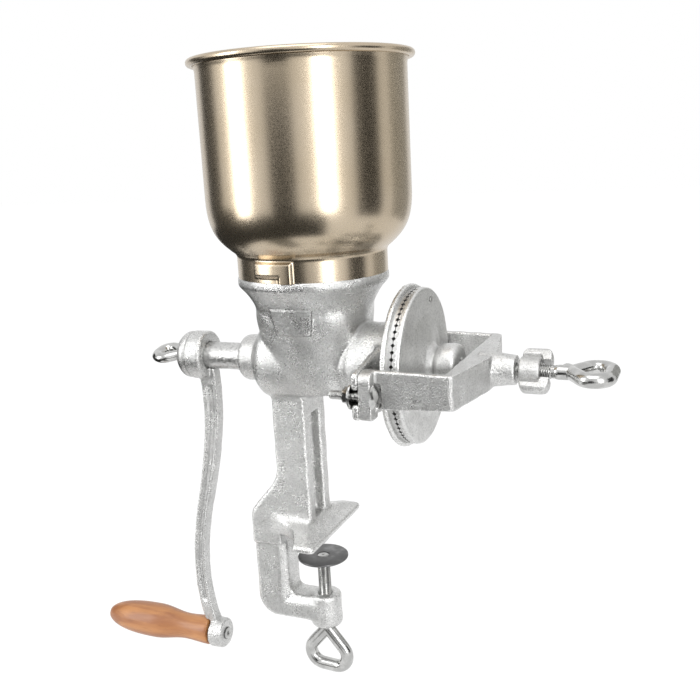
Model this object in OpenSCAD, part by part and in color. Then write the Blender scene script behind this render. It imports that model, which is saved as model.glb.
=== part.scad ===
// Hand grain mill with a high hopper, a hand crank and a table clamp.
// The origin is the middle of the upper jaw's contact face, on the clamp screw's axis.
// +X runs along the shaft towards the grinding plates and +Z is up.

/* [Hopper] */
// Outer diameter over the rolled rim
hopper_rim_d = 152; // [144:1:165]
// Thickness of the rolled rim
rim_bead_d = 5.2; // [4:0.2:7]
// How far the rim stands out of the straight body
rim_reach = 5.4; // [5.3:0.1:8]
// Outer diameter of the collar that twists onto the mill
hopper_collar_d = 104.4; // [102:0.2:108]
// Thickness of the sheet metal
sheet_t = 1; // [0.8:0.1:1.4]
// Height from the collar's lower edge to the middle of the rim
hopper_h = 142.5; // [110:0.5:180]
// Height of the collar
collar_h = 17; // [15:0.5:20]
// Height of the rounded shoulder
shoulder_h = 25; // [18:0.5:32]
// How far the bayonet channel is pressed outwards
channel_rise = 2; // [1.6:0.1:2.4]
// Width of the bayonet channel inside
channel_w = 7; // [6:0.5:8]
// Turn needed to free the hopper
bayonet_turn = 20; // [15:1:30]

/* [Feed funnel] */
// Height of the ring that the hopper stands on, above the shaft
mouth_h = 63.5; // [58:0.5:75]
// Diameter of that ring
ring_d = 105.6; // [104.6:0.2:110]
// Height of the ring
ring_h = 6.5; // [5:0.5:8]
// Height of the spigot inside the collar
spigot_h = 13; // [10:0.5:14]
// Gap between the spigot and the collar
spigot_gap = 0.4; // [0.3:0.05:0.6]
// Thickness of the cast walls
cast_wall = 4; // [3:0.5:5]
// Diameter of the funnel at its throat
throat_d = 76; // [70:0.5:80]
// Height of the throat above the shaft
throat_h = 28; // [26:0.5:32]

/* [Grinding barrel] */
// Height of the shaft above the table
shaft_h = 130; // [120:1:160]
// Distance from the clamp screw to the feed axis
feed_offset = 6.5; // [4:0.5:9]
// Radius of the auger chamber
chamber_r = 20.5; // [18:0.5:22]
// Outer radius of the barrel at its crank end
barrel_big_r = 28.5; // [27:0.5:30]
// Outer radius of the barrel at its waist
barrel_waist_r = 24; // [23.5:0.5:25]
// Outer radius of the collar behind the flange
barrel_neck_r = 29; // [27:0.5:31]
// Distance from the feed axis to the barrel's crank end
barrel_back = 44; // [42:0.5:48]
// Distance from the feed axis to the flange's front
flange_front = 71.5; // [69:0.5:76]
// Outer radius of the flange
flange_r = 56; // [54.5:0.5:56]
// Thickness of the flange's rim
flange_t = 4.5; // [4:0.5:6]
// Radius of the shaft bearing boss
boss_r = 17; // [15:0.5:19]
// How far the boss stands out of the barrel
boss_len = 15.5; // [12:0.5:20]

/* [Grinding plates] */
// Radius of both grinding plates
plate_r = 52.6; // [50:0.2:53]
// Thickness of the fixed plate
fixed_plate_t = 4; // [3.5:0.5:5]
// Thickness of the moving plate
moving_plate_t = 3; // [2.5:0.5:4]
// Gap between the plates
plate_gap = 0.5; // [0.4:0.1:1.5]
// Number of fine grooves round each plate
groove_count = 72; // [36:6:84]
// Depth of a groove
groove_depth = 1.3; // [0.8:0.1:1.5]
// Radius of the plate carrier
carrier_r = 53.5; // [53.3:0.1:54]
// Radius of the carrier's hub
carrier_hub_r = 16; // [14:0.5:18]
// Height of the carrier's hub behind its disc
carrier_hub_len = 25; // [22:0.5:28]

/* [Shaft and crank] */
// Radius of the shaft
shaft_r = 10; // [9:0.25:10.5]
// Radius of the shaft's end in the plate carrier
shaft_tip_r = 8; // [7:0.25:8.5]
// Running clearance of the shaft in its bearing
shaft_gap = 0.08; // [0.04:0.01:0.1]
// Height of the auger's flight over the shaft
flight_h = 9.8; // [8:0.1:9.9]
// Pitch of the auger's flight
flight_pitch = 27; // [22:1:34]
// Radius of the crank's hub
crank_hub_r = 18; // [16:0.5:20]
// Length of the crank's hub
crank_hub_len = 21.5; // [20:0.5:26]
// Distance from the feed axis to the crank hub's inner face
crank_reach = 90; // [84:0.5:96]
// Length of the crank between its axes
crank_len = 233.5; // [200:0.5:240]
// Width of the crank's arm at the hub
arm_w = 13.6; // [12:0.2:16]
// Thickness of the crank's arm
arm_t = 9; // [7:0.5:12]
// Radius of the boss at the end of the arm
end_boss_r = 11.8; // [11:0.2:13]
// Length of that boss
end_boss_len = 12.5; // [10:0.5:16]

/* [Grip] */
// Length of the wooden grip
grip_len = 101.5; // [85:0.5:110]
// Largest diameter of the grip
grip_d = 27.8; // [24:0.2:32]
// Diameter of the grip's neck
grip_neck_d = 20.4; // [18:0.2:22]
// Radius of the spindle inside the grip
spindle_r = 3.5; // [3:0.25:4]

/* [Yoke] */
// Distance from the axis to the outer face of an arm
yoke_half_w = 62.5; // [62:0.5:66]
// Thickness of an arm
yoke_arm_t = 5; // [4:0.5:5]
// Height of an arm
yoke_arm_h = 26; // [22:0.5:30]
// Space between the carrier's hub and the crossbar
yoke_clear = 6.3; // [4:0.1:12]
// How far the crossbar's point stands in front of its corners
yoke_point = 9; // [6:0.5:12]
// Length of the nose in front of the crossbar's corners
nose_len = 24.5; // [20:0.5:30]
// Radius of the nose at its end
nose_r = 9.8; // [9:0.2:11]
// Thickness of the feet
foot_t = 8.5; // [7:0.5:10]
// Thickness of the lugs on the barrel
lug_t = 5; // [4:0.5:7]

/* [Screws] */
// Radius of the adjusting and clamp screws
screw_r = 4.9; // [4.5:0.1:5.2]
// Running clearance of every screw in its thread
thread_gap = 0.08; // [0.04:0.01:0.1]
// Pitch of the adjusting and clamp screws
screw_pitch = 1.5; // [1.25:0.25:1.5]
// Diameter of the rod that the loops are bent from
rod_d = 8; // [7:0.25:9]
// Outer width of a loop
loop_w = 41; // [36:1:46]
// Outer length of the clamp screw's loop
clamp_loop_len = 36.5; // [32:0.5:42]
// Outer length of the adjusting screw's loop
adjust_loop_len = 29.5; // [27:0.5:36]
// Radius of the yoke's bolts
bolt_r = 3; // [2.5:0.25:3.5]
// Distance of the yoke's bolts from the shaft, sideways
bolt_y = 64.5; // [64:0.25:66]
// Distance of the yoke's bolts below the shaft
bolt_drop = 5; // [3:0.5:7]

/* [Clamp] */
// Width of the column along the shaft
column_w = 26; // [22:0.5:30]
// Thickness of the column across the shaft
column_t = 36; // [32:1:38]
// Width of the spine below the table's edge
spine_t = 26; // [22:1:30]
// Distance from the clamp screw to the inner face of the spine
throat_depth = 25.5; // [24:0.5:30]
// Depth of the spine
spine_w = 25.5; // [22:0.5:28]
// Height of the opening between jaw and lower arm
opening_h = 53.5; // [48:0.5:62]
// Height of the lower arm
lower_arm_h = 18; // [15:0.5:20]
// Half length of the upper jaw across the shaft
jaw_half = 45; // [40:1:50]
// Distance from the clamp screw to the jaw's front edge
jaw_front = 14; // [12:0.5:18]
// Thickness of the jaw at its edges
jaw_edge_t = 4.5; // [4:0.5:6]
// Height of the jaw's root at the column
jaw_root_h = 16; // [13:0.5:19]
// Radius of the boss that the clamp screw passes through
clamp_boss_r = 12.2; // [12:0.2:14]
// Height of that boss
clamp_boss_h = 27; // [24:0.5:30]
// Diameter of the clamp pad
pad_d = 38; // [34:1:46]
// Thickness of the clamp pad
pad_t = 1.6; // [1.5:0.1:2.5]
// Distance of the clamp pad below the jaw
pad_drop = 21.5; // [18:0.5:24]

/* [Hidden] */
$fn = 64;
// Overrun of every cut past the face it leaves
cut = 0.5;
// Gap that keeps two neighbouring curved faces apart
seat_gap = 0.05;

// Colours
cast_grey = [0.78, 0.79, 0.79];
zinc = [0.82, 0.82, 0.80];
dark_steel = [0.36, 0.36, 0.36];
nickel = [0.74, 0.68, 0.58];
wood_tan = [0.78, 0.50, 0.28];

// Hopper
collar_r = hopper_collar_d / 2;
body_r = hopper_rim_d / 2 - rim_reach;
bead_r = rim_bead_d / 2;
rim_r = hopper_rim_d / 2 - bead_r;
hopper_bottom = mouth_h + seat_gap;
channel_h = 6;
channel_top_edge = 5;
pin_r = 2.4;
pin_rise = 2;
pin_angle = -105;
pin_drop = channel_top_edge + sheet_t + channel_h / 2;

// Funnel and barrel
spigot_r = collar_r - sheet_t - spigot_gap;
ring_bottom = mouth_h - ring_h;
ring_edge = 1;
throat_r = throat_d / 2;
funnel_foot = 14;
funnel_foot_r = 24;
boss_round = 5;
barrel_round = 12;
waist_x = 24;
neck_x = 38;
flare_x = 57;
flare_r = 46;
flange_back = flange_front - flange_t;
flange_edge = 1;
pocket_depth = 1.3;
pocket_gap = 0.3;
chamber_back = 38;
panel_w = 32;
panel_foot_w = 26;
panel_h = 18;
panel_low = 26;
panel_rise = 0.9;
panel_frame = 2;

// Lugs, bolts and feet
lug_reach = 70;
lug_top = 11;
lug_low = 20.5;
lug_root = 20;
lug_root_top = 19;
lug_root_low = 27;
lug_round = 3;
lug_lean = 10;
foot_round = 6;
foot_x = flange_back - foot_t;
lug_x = foot_x - lug_t;
slot_gap = 1.4;
bolt_head_r = 8;
bolt_head_h = 3.4;
dome_r = (bolt_head_r * bolt_head_r + bolt_head_h * bolt_head_h) / (2 * bolt_head_h);
dome_angle = asin((dome_r - bolt_head_h) / dome_r);
bolt_tail = 16;
bolt_hole_gap = 0.4;
washer_r = 8.8;
washer_t = 1.6;
nut_r = 5.8;
nut_t = 5;
bolt_pitch = 1;

// Plates, carrier and auger
fixed_back = flange_front - pocket_depth;
fixed_front = fixed_back + fixed_plate_t;
moving_front = fixed_front + plate_gap;
moving_back = moving_front + moving_plate_t;
carrier_lip = 2.3;
carrier_floor_t = 2.5;
carrier_back = moving_back + carrier_floor_t;
carrier_cone_r = 34;
carrier_cone_h = 7;
carrier_hub_end = carrier_back + carrier_hub_len;
hub_round = 4;
groove_w = 2.6;
groove_inner_r = 36;
coarse_count = 12;
coarse_w = 5;
coarse_depth = 1.6;
plate_hole_gap = 0.3;
moving_hole_r = 13;
rivet_r = 1.7;
rivet_circle_r = 45.7;
rivet_angle = 70.8;
rivet_head_rise = 0.6;
rivet_bite = 1.3;
plate_screw_r = 2;
plate_screw_head_r = 3.2;
plate_screw_head_h = 2;
plate_screw_circle_r = 49.8;
plate_screw_bite = 1.8;
plate_screw_angles = [60, 180, 300];
pin_hole_gap = 0.05;
carrier_pin_r = 2;
carrier_pin_inset = 13.5;
carrier_pin_x = carrier_hub_end - carrier_pin_inset;
carrier_pin_angle = 40;
shaft_tip_inset = 7.5;
shaft_tip_end = carrier_hub_end - shaft_tip_inset;
ball_r = 5;
ball_x = shaft_tip_end + seat_gap + ball_r;
socket_r = ball_r + 0.5;
flight_t = 5;
flight_start = -36;
flight_end = flange_front - 4;
flight_turns = (flight_end - flight_start) / flight_pitch;
shaft_seat_len = 14;
shaft_seat_gap = 0.1;
shaft_flat = 2.5;
shaft_end = crank_reach + shaft_seat_len;

// Yoke
yoke_low = 14.5;
crossbar_t = 7;
yoke_top = yoke_arm_h - yoke_low;
yoke_taper = 2.5;
yoke_inner_x = carrier_hub_end + yoke_clear;
yoke_reach = yoke_inner_x + crossbar_t;
nose_end = yoke_reach + nose_len;
arm_mid_y = yoke_half_w - yoke_arm_t / 2;
foot_reach = 70;
foot_low = 20;
foot_top = 11;
nose_root_r = 12.6;
nose_tip_gap = 2.5;
point_half_w = 12;
corner_round = 4;

// Adjusting screw and lock nut
adjust_tip = ball_x + ball_r + seat_gap;
adjust_reach = 35;
adjust_shank_end = nose_end + adjust_reach;
lock_nut_x = nose_end + nose_tip_gap;
lock_hub_r = 9.4;
lock_hub_len = 13;
ear_len = 20;
ear_reach = 16;
ear_t = 4.4;
ear_round = 4;
ear_angle = 45;

// Loops
joint_overlap = 0.2;
bend_swell = 0.15;
loop_bend_share = 0.75;
adjust_tail = 6;
short_tail = 0.8;
small_screw_r = 4;
small_rod_d = 6;
small_loop_w = 26;
small_loop_len = 25;
small_loop_tilt = 14;
adjust_loop_tilt = 6;

// Crank
hub_x = -crank_reach - crank_hub_len;
hub_edge = 6;
hub_face_edge = 1.5;
arm_start_x = -94;
arm_bow_x = -89.6;
arm_low_x = -117.5;
arm_end_x = -105.5;
arm_end_w = 9.6;
arm_groove_w_share = 0.45;
arm_groove_depth = 1.8;
end_boss_x = -110.5;
end_boss_edge = 1.5;
arm_points = 24;
crank_screw_bite = 10;
crank_screw_wall = 8;

// Grip
grip_gap = 1.4;
grip_x = end_boss_x - grip_gap;
grip_bore_gap = 0.08;
grip_points = 28;
grip_end_r = 11.4;
spot_face_r = grip_end_r + grip_gap / 2;
spindle_head_r = 4.6;
spindle_head_h = 2;
spindle_recess = 3;
spindle_rivet_r = 5;
spindle_rivet_h = 1.2;
grip_washer_r = 8;

// Clamp
column_back = -throat_depth;
column_front = column_back + column_w;
web_depth = 9;
web_wall = 10;
web_low = 12;
knee_h = 49;
knee_inset = 1.5;
shoulder_z = 19;
spine_back = -throat_depth - spine_w;
knee_back = spine_back + knee_inset;
spine_step = 10;
spine_bevel = 4;
bevel_depth = 6;
inner_round = 5.5;
jaw_round = 4;
outer_round = 16;
arm_top = -opening_h;
arm_low = arm_top - lower_arm_h;
boss_drop = 7;
boss_low = arm_low - boss_drop;
clamp_boss_edge = 4;
jaw_tip_w = 16.5;
jaw_root_w = 45.5;
jaw_shelf = 5;
jaw_ledge = 4;
pad_dish = 0.6;
pad_hole_r = 3.2;
pad_neck_gap = 0.15;
pad_rivet_r = 4.4;
pad_rivet_h = 0.5;
clamp_loop_gap = 3.5;
clamp_loop_turn = 86;

// Points of a circular arc about c
function arc(c, r, a0, a1, n) =
    [for (i = [0 : n]) c + r * [cos(a0 + (a1 - a0) * i / n), sin(a0 + (a1 - a0) * i / n)]];

// Points of a cubic curve through p[0] and p[3], drawn towards p[1] and p[2]
function curve(p, n) =
    [for (i = [0 : n]) let (t = i / n, s = 1 - t)
        s * s * s * p[0] + 3 * s * s * t * p[1] + 3 * s * t * t * p[2] + t * t * t * p[3]];

function reversed(p) = [for (i = [len(p) - 1 : -1 : 0]) p[i]];

// Moves a shape from the shaft's own frame to the part's frame
module on_shaft() translate([feed_offset, 0, shaft_h]) children();

// Turns a shape round +Z into one round +X
module about_x() rotate([0, 90, 0]) children();

// Cylinder along +X from x0 to x1
module rod_x(r, x0, x1) translate([x0, 0, 0]) about_x() cylinder(r = r, h = x1 - x0);

// Flat shape in Y and Z, extruded along +X from x0
module along_x(x0, length)
    translate([x0, 0, 0]) rotate([90, 0, 90]) linear_extrude(length) children();

// Flat shape in X and Z, extruded the same way to both sides of the middle plane
module across(width) rotate([90, 0, 0]) linear_extrude(width, center = true) children();

// Outline of the spun hopper, as radius over height
module hopper_outline() {
    top = hopper_bottom + hopper_h;
    shoulder_low = hopper_bottom + collar_h;
    shoulder_top = shoulder_low + shoulder_h;
    neck_pull = shoulder_h / 5;
    outer = concat(
        [[collar_r, hopper_bottom - cut], [collar_r, shoulder_low - neck_pull]],
        curve([[collar_r, shoulder_low - neck_pull], [collar_r, shoulder_low],
            [collar_r + neck_pull, shoulder_low + neck_pull / 3],
            [collar_r + neck_pull * 1.6, shoulder_low + neck_pull]], 6),
        curve([[collar_r + neck_pull * 1.6, shoulder_low + neck_pull],
            [body_r - neck_pull, shoulder_low + shoulder_h * 0.42],
            [body_r, shoulder_low + shoulder_h * 0.6], [body_r, shoulder_top]], 12),
        [[body_r, top]]);
    inner = [for (p = outer) [p[0] - sheet_t, p[1]]];
    polygon(concat(outer, reversed(inner)));
}

// Bayonet channel with an open leg below and a bar to one side, grown by an edge
module bayonet_channel(r_in, r_out, edge) {
    leg_low = hopper_bottom - cut * (edge > 0 ? 1 : 2);
    bar_low = hopper_bottom + pin_drop - channel_h / 2 - edge;
    bar_top = bar_low + channel_h + 2 * edge;
    half = channel_w / 2 + edge;
    bar_end = -collar_r * sin(bayonet_turn) - half;
    intersection() {
        translate([0, 0, leg_low]) difference() {
            cylinder(r = r_out, h = bar_top - leg_low, $fn = 96);
            translate([0, 0, -cut]) cylinder(r = r_in, h = bar_top - leg_low + 2 * cut, $fn = 96);
        }
        along_x(0, r_out + cut) polygon([
            [half, leg_low - cut], [half, bar_top + cut], [bar_end, bar_top + cut],
            [bar_end, bar_low], [-half, bar_low], [-half, leg_low - cut]]);
    }
}

// Spun metal hopper with a rolled rim and a bayonet collar
module hopper() color(nickel) on_shaft() difference() {
    union() {
        rotate_extrude($fn = 96) hopper_outline();
        translate([0, 0, hopper_bottom + hopper_h]) rotate_extrude($fn = 96)
            difference() {
                translate([rim_r, 0]) circle(bead_r, $fn = 32);
                translate([rim_r, 0]) circle(bead_r - sheet_t, $fn = 32);
                translate([rim_r - bead_r - cut, -bead_r - cut])
                    square([bead_r + cut, bead_r + cut]);
            }
        translate([0, 0, hopper_bottom + hopper_h - sheet_t]) rotate_extrude($fn = 96)
            translate([body_r - sheet_t, 0]) square([rim_r - bead_r + sheet_t * 1.5 - body_r, sheet_t]);
        for (side = [0, 180]) rotate([0, 0, side + pin_angle + bayonet_turn])
            bayonet_channel(collar_r - sheet_t / 2, collar_r + channel_rise, sheet_t);
    }
    for (side = [0, 180]) rotate([0, 0, side + pin_angle + bayonet_turn])
        bayonet_channel(collar_r - 2 * sheet_t, collar_r + channel_rise - sheet_t, 0);
    translate([0, 0, hopper_bottom - 3 * cut]) cylinder(r = body_r, h = 3 * cut, $fn = 96);
}

// Outline of the funnel, drawn in or out by a wall
module funnel_outline(shrink) {
    upper = curve([[ring_d / 2 - ring_edge - shrink, ring_bottom],
        [collar_r - ring_h - shrink, ring_bottom - ring_h],
        [throat_r + ring_edge * 2 - shrink, (ring_bottom + throat_h) / 2],
        [throat_r - shrink, throat_h]], 10);
    lower = curve([[throat_r - shrink, throat_h], [throat_r - ring_edge - shrink, throat_h * 0.65],
        [throat_r - cast_wall - shrink, 0], [funnel_foot_r - shrink, -funnel_foot]], 8);
    polygon(concat([[0, ring_bottom]], upper, lower, [[0, -funnel_foot]]));
}

// Outline of the barrel, its boss and its flange, as radius over distance
module barrel_outline() {
    boss_x = -barrel_back - boss_len;
    polygon(concat(
        [[0, boss_x]],
        arc([boss_r - boss_round, boss_x + boss_round], boss_round, -90, 0, 6),
        [[boss_r, -barrel_back]],
        arc([barrel_big_r - barrel_round, -barrel_back + barrel_round], barrel_round, -90, 0, 8),
        curve([[barrel_waist_r, waist_x], [barrel_waist_r, (waist_x + neck_x) / 2],
            [barrel_neck_r, (waist_x + neck_x) / 2], [barrel_neck_r, neck_x]], 6),
        curve([[barrel_neck_r, flare_x], [barrel_neck_r, (flare_x + flange_back) / 2],
            [flare_r - barrel_round, flange_back], [flare_r, flange_back]], 6),
        [[flange_r - flange_edge, flange_back], [flange_r, flange_back + flange_edge],
            [flange_r, flange_front], [0, flange_front]]));
}

// Flat shape of one lug, to the +Y side
module lug_shape() {
    points = concat([[lug_root, -lug_root_low]],
        arc([lug_reach - lug_round, -lug_low + lug_round], lug_round, -90, 0, 5),
        arc([lug_reach - lug_round, lug_top - lug_round], lug_round, 0, 90 - lug_lean, 5),
        [[lug_root, lug_root_top]]);
    difference() {
        polygon(points);
        translate([bolt_y, -bolt_drop]) circle(bolt_r + slot_gap);
        translate([bolt_y, -bolt_drop - bolt_r - slot_gap])
            square([lug_reach - bolt_y + cut, 2 * (bolt_r + slot_gap)]);
    }
}

// Bare raised panel on the front of the funnel
module panel_shape(edge) {
    bottom_r = panel_foot_w / 4;
    polygon(concat(
        [[-panel_w / 2 + edge, panel_low + panel_h - edge],
            [panel_w / 2 - edge, panel_low + panel_h - edge]],
        arc([panel_foot_w / 2 - bottom_r, panel_low + bottom_r], bottom_r - edge, 0, -90, 5),
        arc([-panel_foot_w / 2 + bottom_r, panel_low + bottom_r], bottom_r - edge, -90, -180, 5)));
}

module raised_panel() {
    intersection() {
        rotate_extrude($fn = 96) funnel_outline(-panel_rise);
        rotate([90, 0, 0]) linear_extrude(ring_d) difference() {
            panel_shape(0);
            panel_shape(panel_frame);
        }
    }
    intersection() {
        rotate_extrude($fn = 96) funnel_outline(-panel_rise / 3);
        rotate([90, 0, 0]) linear_extrude(ring_d) panel_shape(panel_frame - seat_gap);
    }
}

// Column with a knee, in the part's frame, down to just below the jaw
module column_profile() {
    polygon(concat(
        [[column_front, shaft_h - chamber_r - cast_wall], [column_back, shaft_h - chamber_r - cast_wall]],
        curve([[column_back, knee_h], [column_back, knee_h - spine_step],
            [knee_back + spine_step, shoulder_z + spine_step],
            [knee_back + spine_step / 3, shoulder_z]], 8),
        curve([[knee_back + spine_step / 3, shoulder_z], [knee_back, shoulder_z - spine_step / 3],
            [knee_back, shoulder_z - spine_step / 2], [knee_back, 0]], 4),
        [[knee_back, -spine_step], [-throat_depth, -spine_step], [-throat_depth, 0], [column_front, 0]]));
}

// Lower part of the C, from the table's edge to the screw boss
module c_profile() {
    polygon(concat(
        [[spine_back, 0], [spine_back, arm_top]],
        arc([spine_back + outer_round, arm_low + outer_round], outer_round, 180, 270, 8),
        [[0, arm_low], [0, arm_top]],
        arc([-throat_depth + inner_round, arm_top + inner_round], inner_round, 270, 180, 6),
        [[-throat_depth, 0]]));
}

module c_frame() intersection() {
    across(spine_t) c_profile();
    union() {
        translate([0, 0, arm_low - cut]) linear_extrude(-arm_low + cut) polygon([
            [spine_back - cut, -spine_t / 2 - cut], [spine_back - cut, spine_t / 2 + cut],
            [-throat_depth - bevel_depth, spine_t / 2 + cut],
            [-throat_depth, spine_t / 2 - spine_bevel], [-throat_depth, -spine_t / 2 + spine_bevel],
            [-throat_depth - bevel_depth, -spine_t / 2 - cut]]);
        along_x(spine_back, -spine_back) polygon([
            [-spine_t / 2 - cut, arm_low - cut], [spine_t / 2 + cut, arm_low - cut],
            [spine_t / 2 + cut, arm_top - bevel_depth], [spine_t / 2 - spine_bevel, arm_top],
            [spine_t / 2 - spine_bevel, arm_top + inner_round],
            [-spine_t / 2 + spine_bevel, arm_top + inner_round],
            [-spine_t / 2 + spine_bevel, arm_top], [-spine_t / 2 - cut, arm_top - bevel_depth]]);
    }
}

// Wide upper jaw, flat below and roofed above
module jaw() {
    tip_x = jaw_front - jaw_tip_w;
    root_x = jaw_front - jaw_root_w;
    side = curve([[tip_x, jaw_half], [tip_x - jaw_shelf, jaw_half * 0.6],
        [tip_x - jaw_shelf * 2, column_t / 2 + jaw_shelf], [root_x, column_t / 2]], 8);
    intersection() {
        linear_extrude(jaw_root_h + cut) polygon(concat(
            arc([jaw_front - jaw_round, -jaw_half + jaw_round], jaw_round, -90, 0, 5),
            arc([jaw_front - jaw_round, jaw_half - jaw_round], jaw_round, 0, 90, 5), side,
            reversed([for (p = side) [p[0], -p[1]]])));
        along_x(root_x - cut, jaw_root_w + 2 * cut) polygon([
            [-jaw_half, 0], [jaw_half, 0], [jaw_half, jaw_edge_t],
            [column_t / 2 + jaw_ledge / 3, jaw_root_h - jaw_ledge],
            [column_t / 2, jaw_root_h], [-column_t / 2, jaw_root_h],
            [-column_t / 2 - jaw_ledge / 3, jaw_root_h - jaw_ledge], [-jaw_half, jaw_edge_t]]);
        across(2 * jaw_half + cut) polygon([
            [root_x - cut, 0], [jaw_front, 0], [jaw_front, jaw_edge_t],
            [jaw_front - jaw_shelf, jaw_edge_t + jaw_shelf / 5], [column_front, jaw_root_h - jaw_shelf],
            [column_front - jaw_shelf, jaw_root_h], [root_x - cut, jaw_root_h]]);
    }
}

module clamp_boss() translate([0, 0, boss_low]) rotate_extrude() polygon(concat(
    [[0, 0]],
    arc([clamp_boss_r - clamp_boss_edge, clamp_boss_edge], clamp_boss_edge, -90, 0, 5),
    [[clamp_boss_r, clamp_boss_h - clamp_boss_edge / 2], [clamp_boss_r - clamp_boss_edge / 2, clamp_boss_h],
        [0, clamp_boss_h]]));

// Main casting: funnel, barrel, flange, lugs, column and C clamp
module mill_body() color(cast_grey) difference() {
    union() {
        on_shaft() {
            rotate_extrude($fn = 96) funnel_outline(0);
            about_x() rotate_extrude($fn = 96) barrel_outline();
            translate([0, 0, ring_bottom]) rotate_extrude($fn = 96) polygon([
                [0, 0], [ring_d / 2 - ring_edge, 0], [ring_d / 2, ring_edge],
                [ring_d / 2, ring_h - ring_edge], [ring_d / 2 - ring_edge / 2, ring_h], [0, ring_h]]);
            translate([0, 0, ring_bottom]) cylinder(r = spigot_r, h = ring_h + spigot_h, $fn = 96);
            for (side = [0, 180]) rotate([0, 0, side + pin_angle])
                translate([0, 0, hopper_bottom + pin_drop])
                    rod_x(pin_r, spigot_r - pin_rise, spigot_r + pin_rise);
            raised_panel();
            along_x(lug_x, lug_t) lug_shape();
            along_x(lug_x, lug_t) mirror([1, 0]) lug_shape();
        }
        across(column_t) column_profile();
        c_frame();
        jaw();
        clamp_boss();
    }
    on_shaft() {
        rotate_extrude($fn = 96) funnel_cavity();
        rod_x(shaft_r + shaft_gap, -barrel_back - boss_len - cut, 0);
        rod_x(chamber_r, -chamber_back, flange_front + cut);
        rod_x(plate_r + pocket_gap, fixed_back, flange_front + cut);
        for (a = plate_screw_angles) rotate([a, 0, 0]) translate([0, plate_screw_circle_r, 0])
            rod_x(plate_screw_r + thread_gap, flange_back - cut, flange_front);
    }
    translate([column_front - web_depth, -column_t / 2 + web_wall, web_low])
        cube([2 * web_depth, column_t - 2 * web_wall, shaft_h - barrel_big_r - web_wall - web_low]);
    translate([0, 0, boss_low - cut])
        cylinder(r = screw_r + thread_gap, h = clamp_boss_h + 2 * cut);
}

// Inside of the funnel and its spigot
module funnel_cavity() {
    mouth_r = spigot_r - cast_wall;
    polygon(concat(
        [[0, mouth_h + spigot_h + cut], [mouth_r, mouth_h + spigot_h + cut], [mouth_r, ring_bottom]],
        curve([[mouth_r, ring_bottom], [mouth_r - ring_h, ring_bottom - ring_h],
            [throat_r - cast_wall, (ring_bottom + throat_h) / 2],
            [throat_r - cast_wall - ring_edge, throat_h]], 8),
        [[throat_r - 2 * cast_wall, throat_h / 2], [chamber_r, 0], [0, 0]]));
}

// Toothed face of a plate, cut to the given side
module radial_grooves(x_face, side) {
    rise = cut / 5;
    for (i = [0 : groove_count - 1]) rotate([360 / groove_count * (i + 0.5), 0, 0])
        translate([x_face, 0, 0]) rotate([-90, 0, 0]) translate([0, 0, groove_inner_r])
            linear_extrude(plate_r - groove_inner_r + cut)
                polygon([[side * rise, -groove_w / 2 * (1 + rise / groove_depth)],
                    [side * rise, groove_w / 2 * (1 + rise / groove_depth)], [-side * groove_depth, 0]]);
    for (i = [0 : coarse_count - 1]) rotate([360 / coarse_count * (i + 0.5), 0, 0])
        translate([x_face, 0, 0]) rotate([-90, 0, 0]) translate([0, 0, chamber_r - 2 * cut])
            linear_extrude(groove_inner_r - chamber_r)
                polygon([[side * rise, -coarse_w / 2], [-side * coarse_depth, -coarse_w / 2],
                    [side * rise, coarse_w * (0.5 + rise / coarse_depth)]]);
}

module fixed_plate() color(cast_grey) on_shaft() difference() {
    rod_x(plate_r, fixed_back, fixed_front);
    rod_x(chamber_r, fixed_back - cut, fixed_front + cut);
    radial_grooves(fixed_front, 1);
    for (a = plate_screw_angles) rotate([a, 0, 0]) translate([0, plate_screw_circle_r, 0])
        rod_x(plate_screw_r + thread_gap, fixed_back - cut, fixed_back + plate_screw_bite + cut);
}

module fixed_plate_screws() color(zinc) on_shaft()
    for (a = plate_screw_angles) rotate([a, 0, 0]) translate([0, plate_screw_circle_r, 0]) difference() {
        union() {
            rod_x(plate_screw_r, flange_back - cut, fixed_back + plate_screw_bite);
            rod_x(plate_screw_head_r, flange_back - plate_screw_head_h, flange_back);
        }
        translate([flange_back - plate_screw_head_h - cut, -plate_screw_head_r, -cut])
            cube([cut * 3, 2 * plate_screw_head_r, 2 * cut]);
    }

module moving_plate() color(cast_grey) on_shaft() difference() {
    rod_x(plate_r, moving_front, moving_back);
    rod_x(moving_hole_r, moving_front - cut, moving_back + cut);
    radial_grooves(moving_front, -1);
    for (i = [0 : 2]) rotate([rivet_angle + 120 * i, 0, 0]) translate([0, rivet_circle_r, 0])
        rod_x(rivet_r + pin_hole_gap, moving_back - rivet_bite, moving_back + cut);
}

// Disc that carries the moving plate, with a coned hub for the shaft and the ball
module carrier_outline() {
    polygon(concat(
        [[0, carrier_hub_end]],
        [[carrier_hub_r - hub_round, carrier_hub_end]],
        arc([carrier_hub_r - hub_round, carrier_hub_end - hub_round], hub_round, 90, 0, 5),
        curve([[carrier_hub_r, carrier_back + carrier_cone_h],
            [carrier_hub_r, carrier_back + carrier_cone_h / 3],
            [carrier_cone_r - carrier_cone_h, carrier_back + carrier_floor_t / 2],
            [carrier_cone_r, carrier_back]], 8),
        arc([carrier_r - carrier_floor_t / 2, carrier_back - carrier_floor_t / 2],
            carrier_floor_t / 2, 90, 0, 3),
        [[carrier_r, moving_back - carrier_lip], [plate_r + pocket_gap, moving_back - carrier_lip],
            [plate_r + pocket_gap, moving_back], [0, moving_back]]));
}

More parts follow.
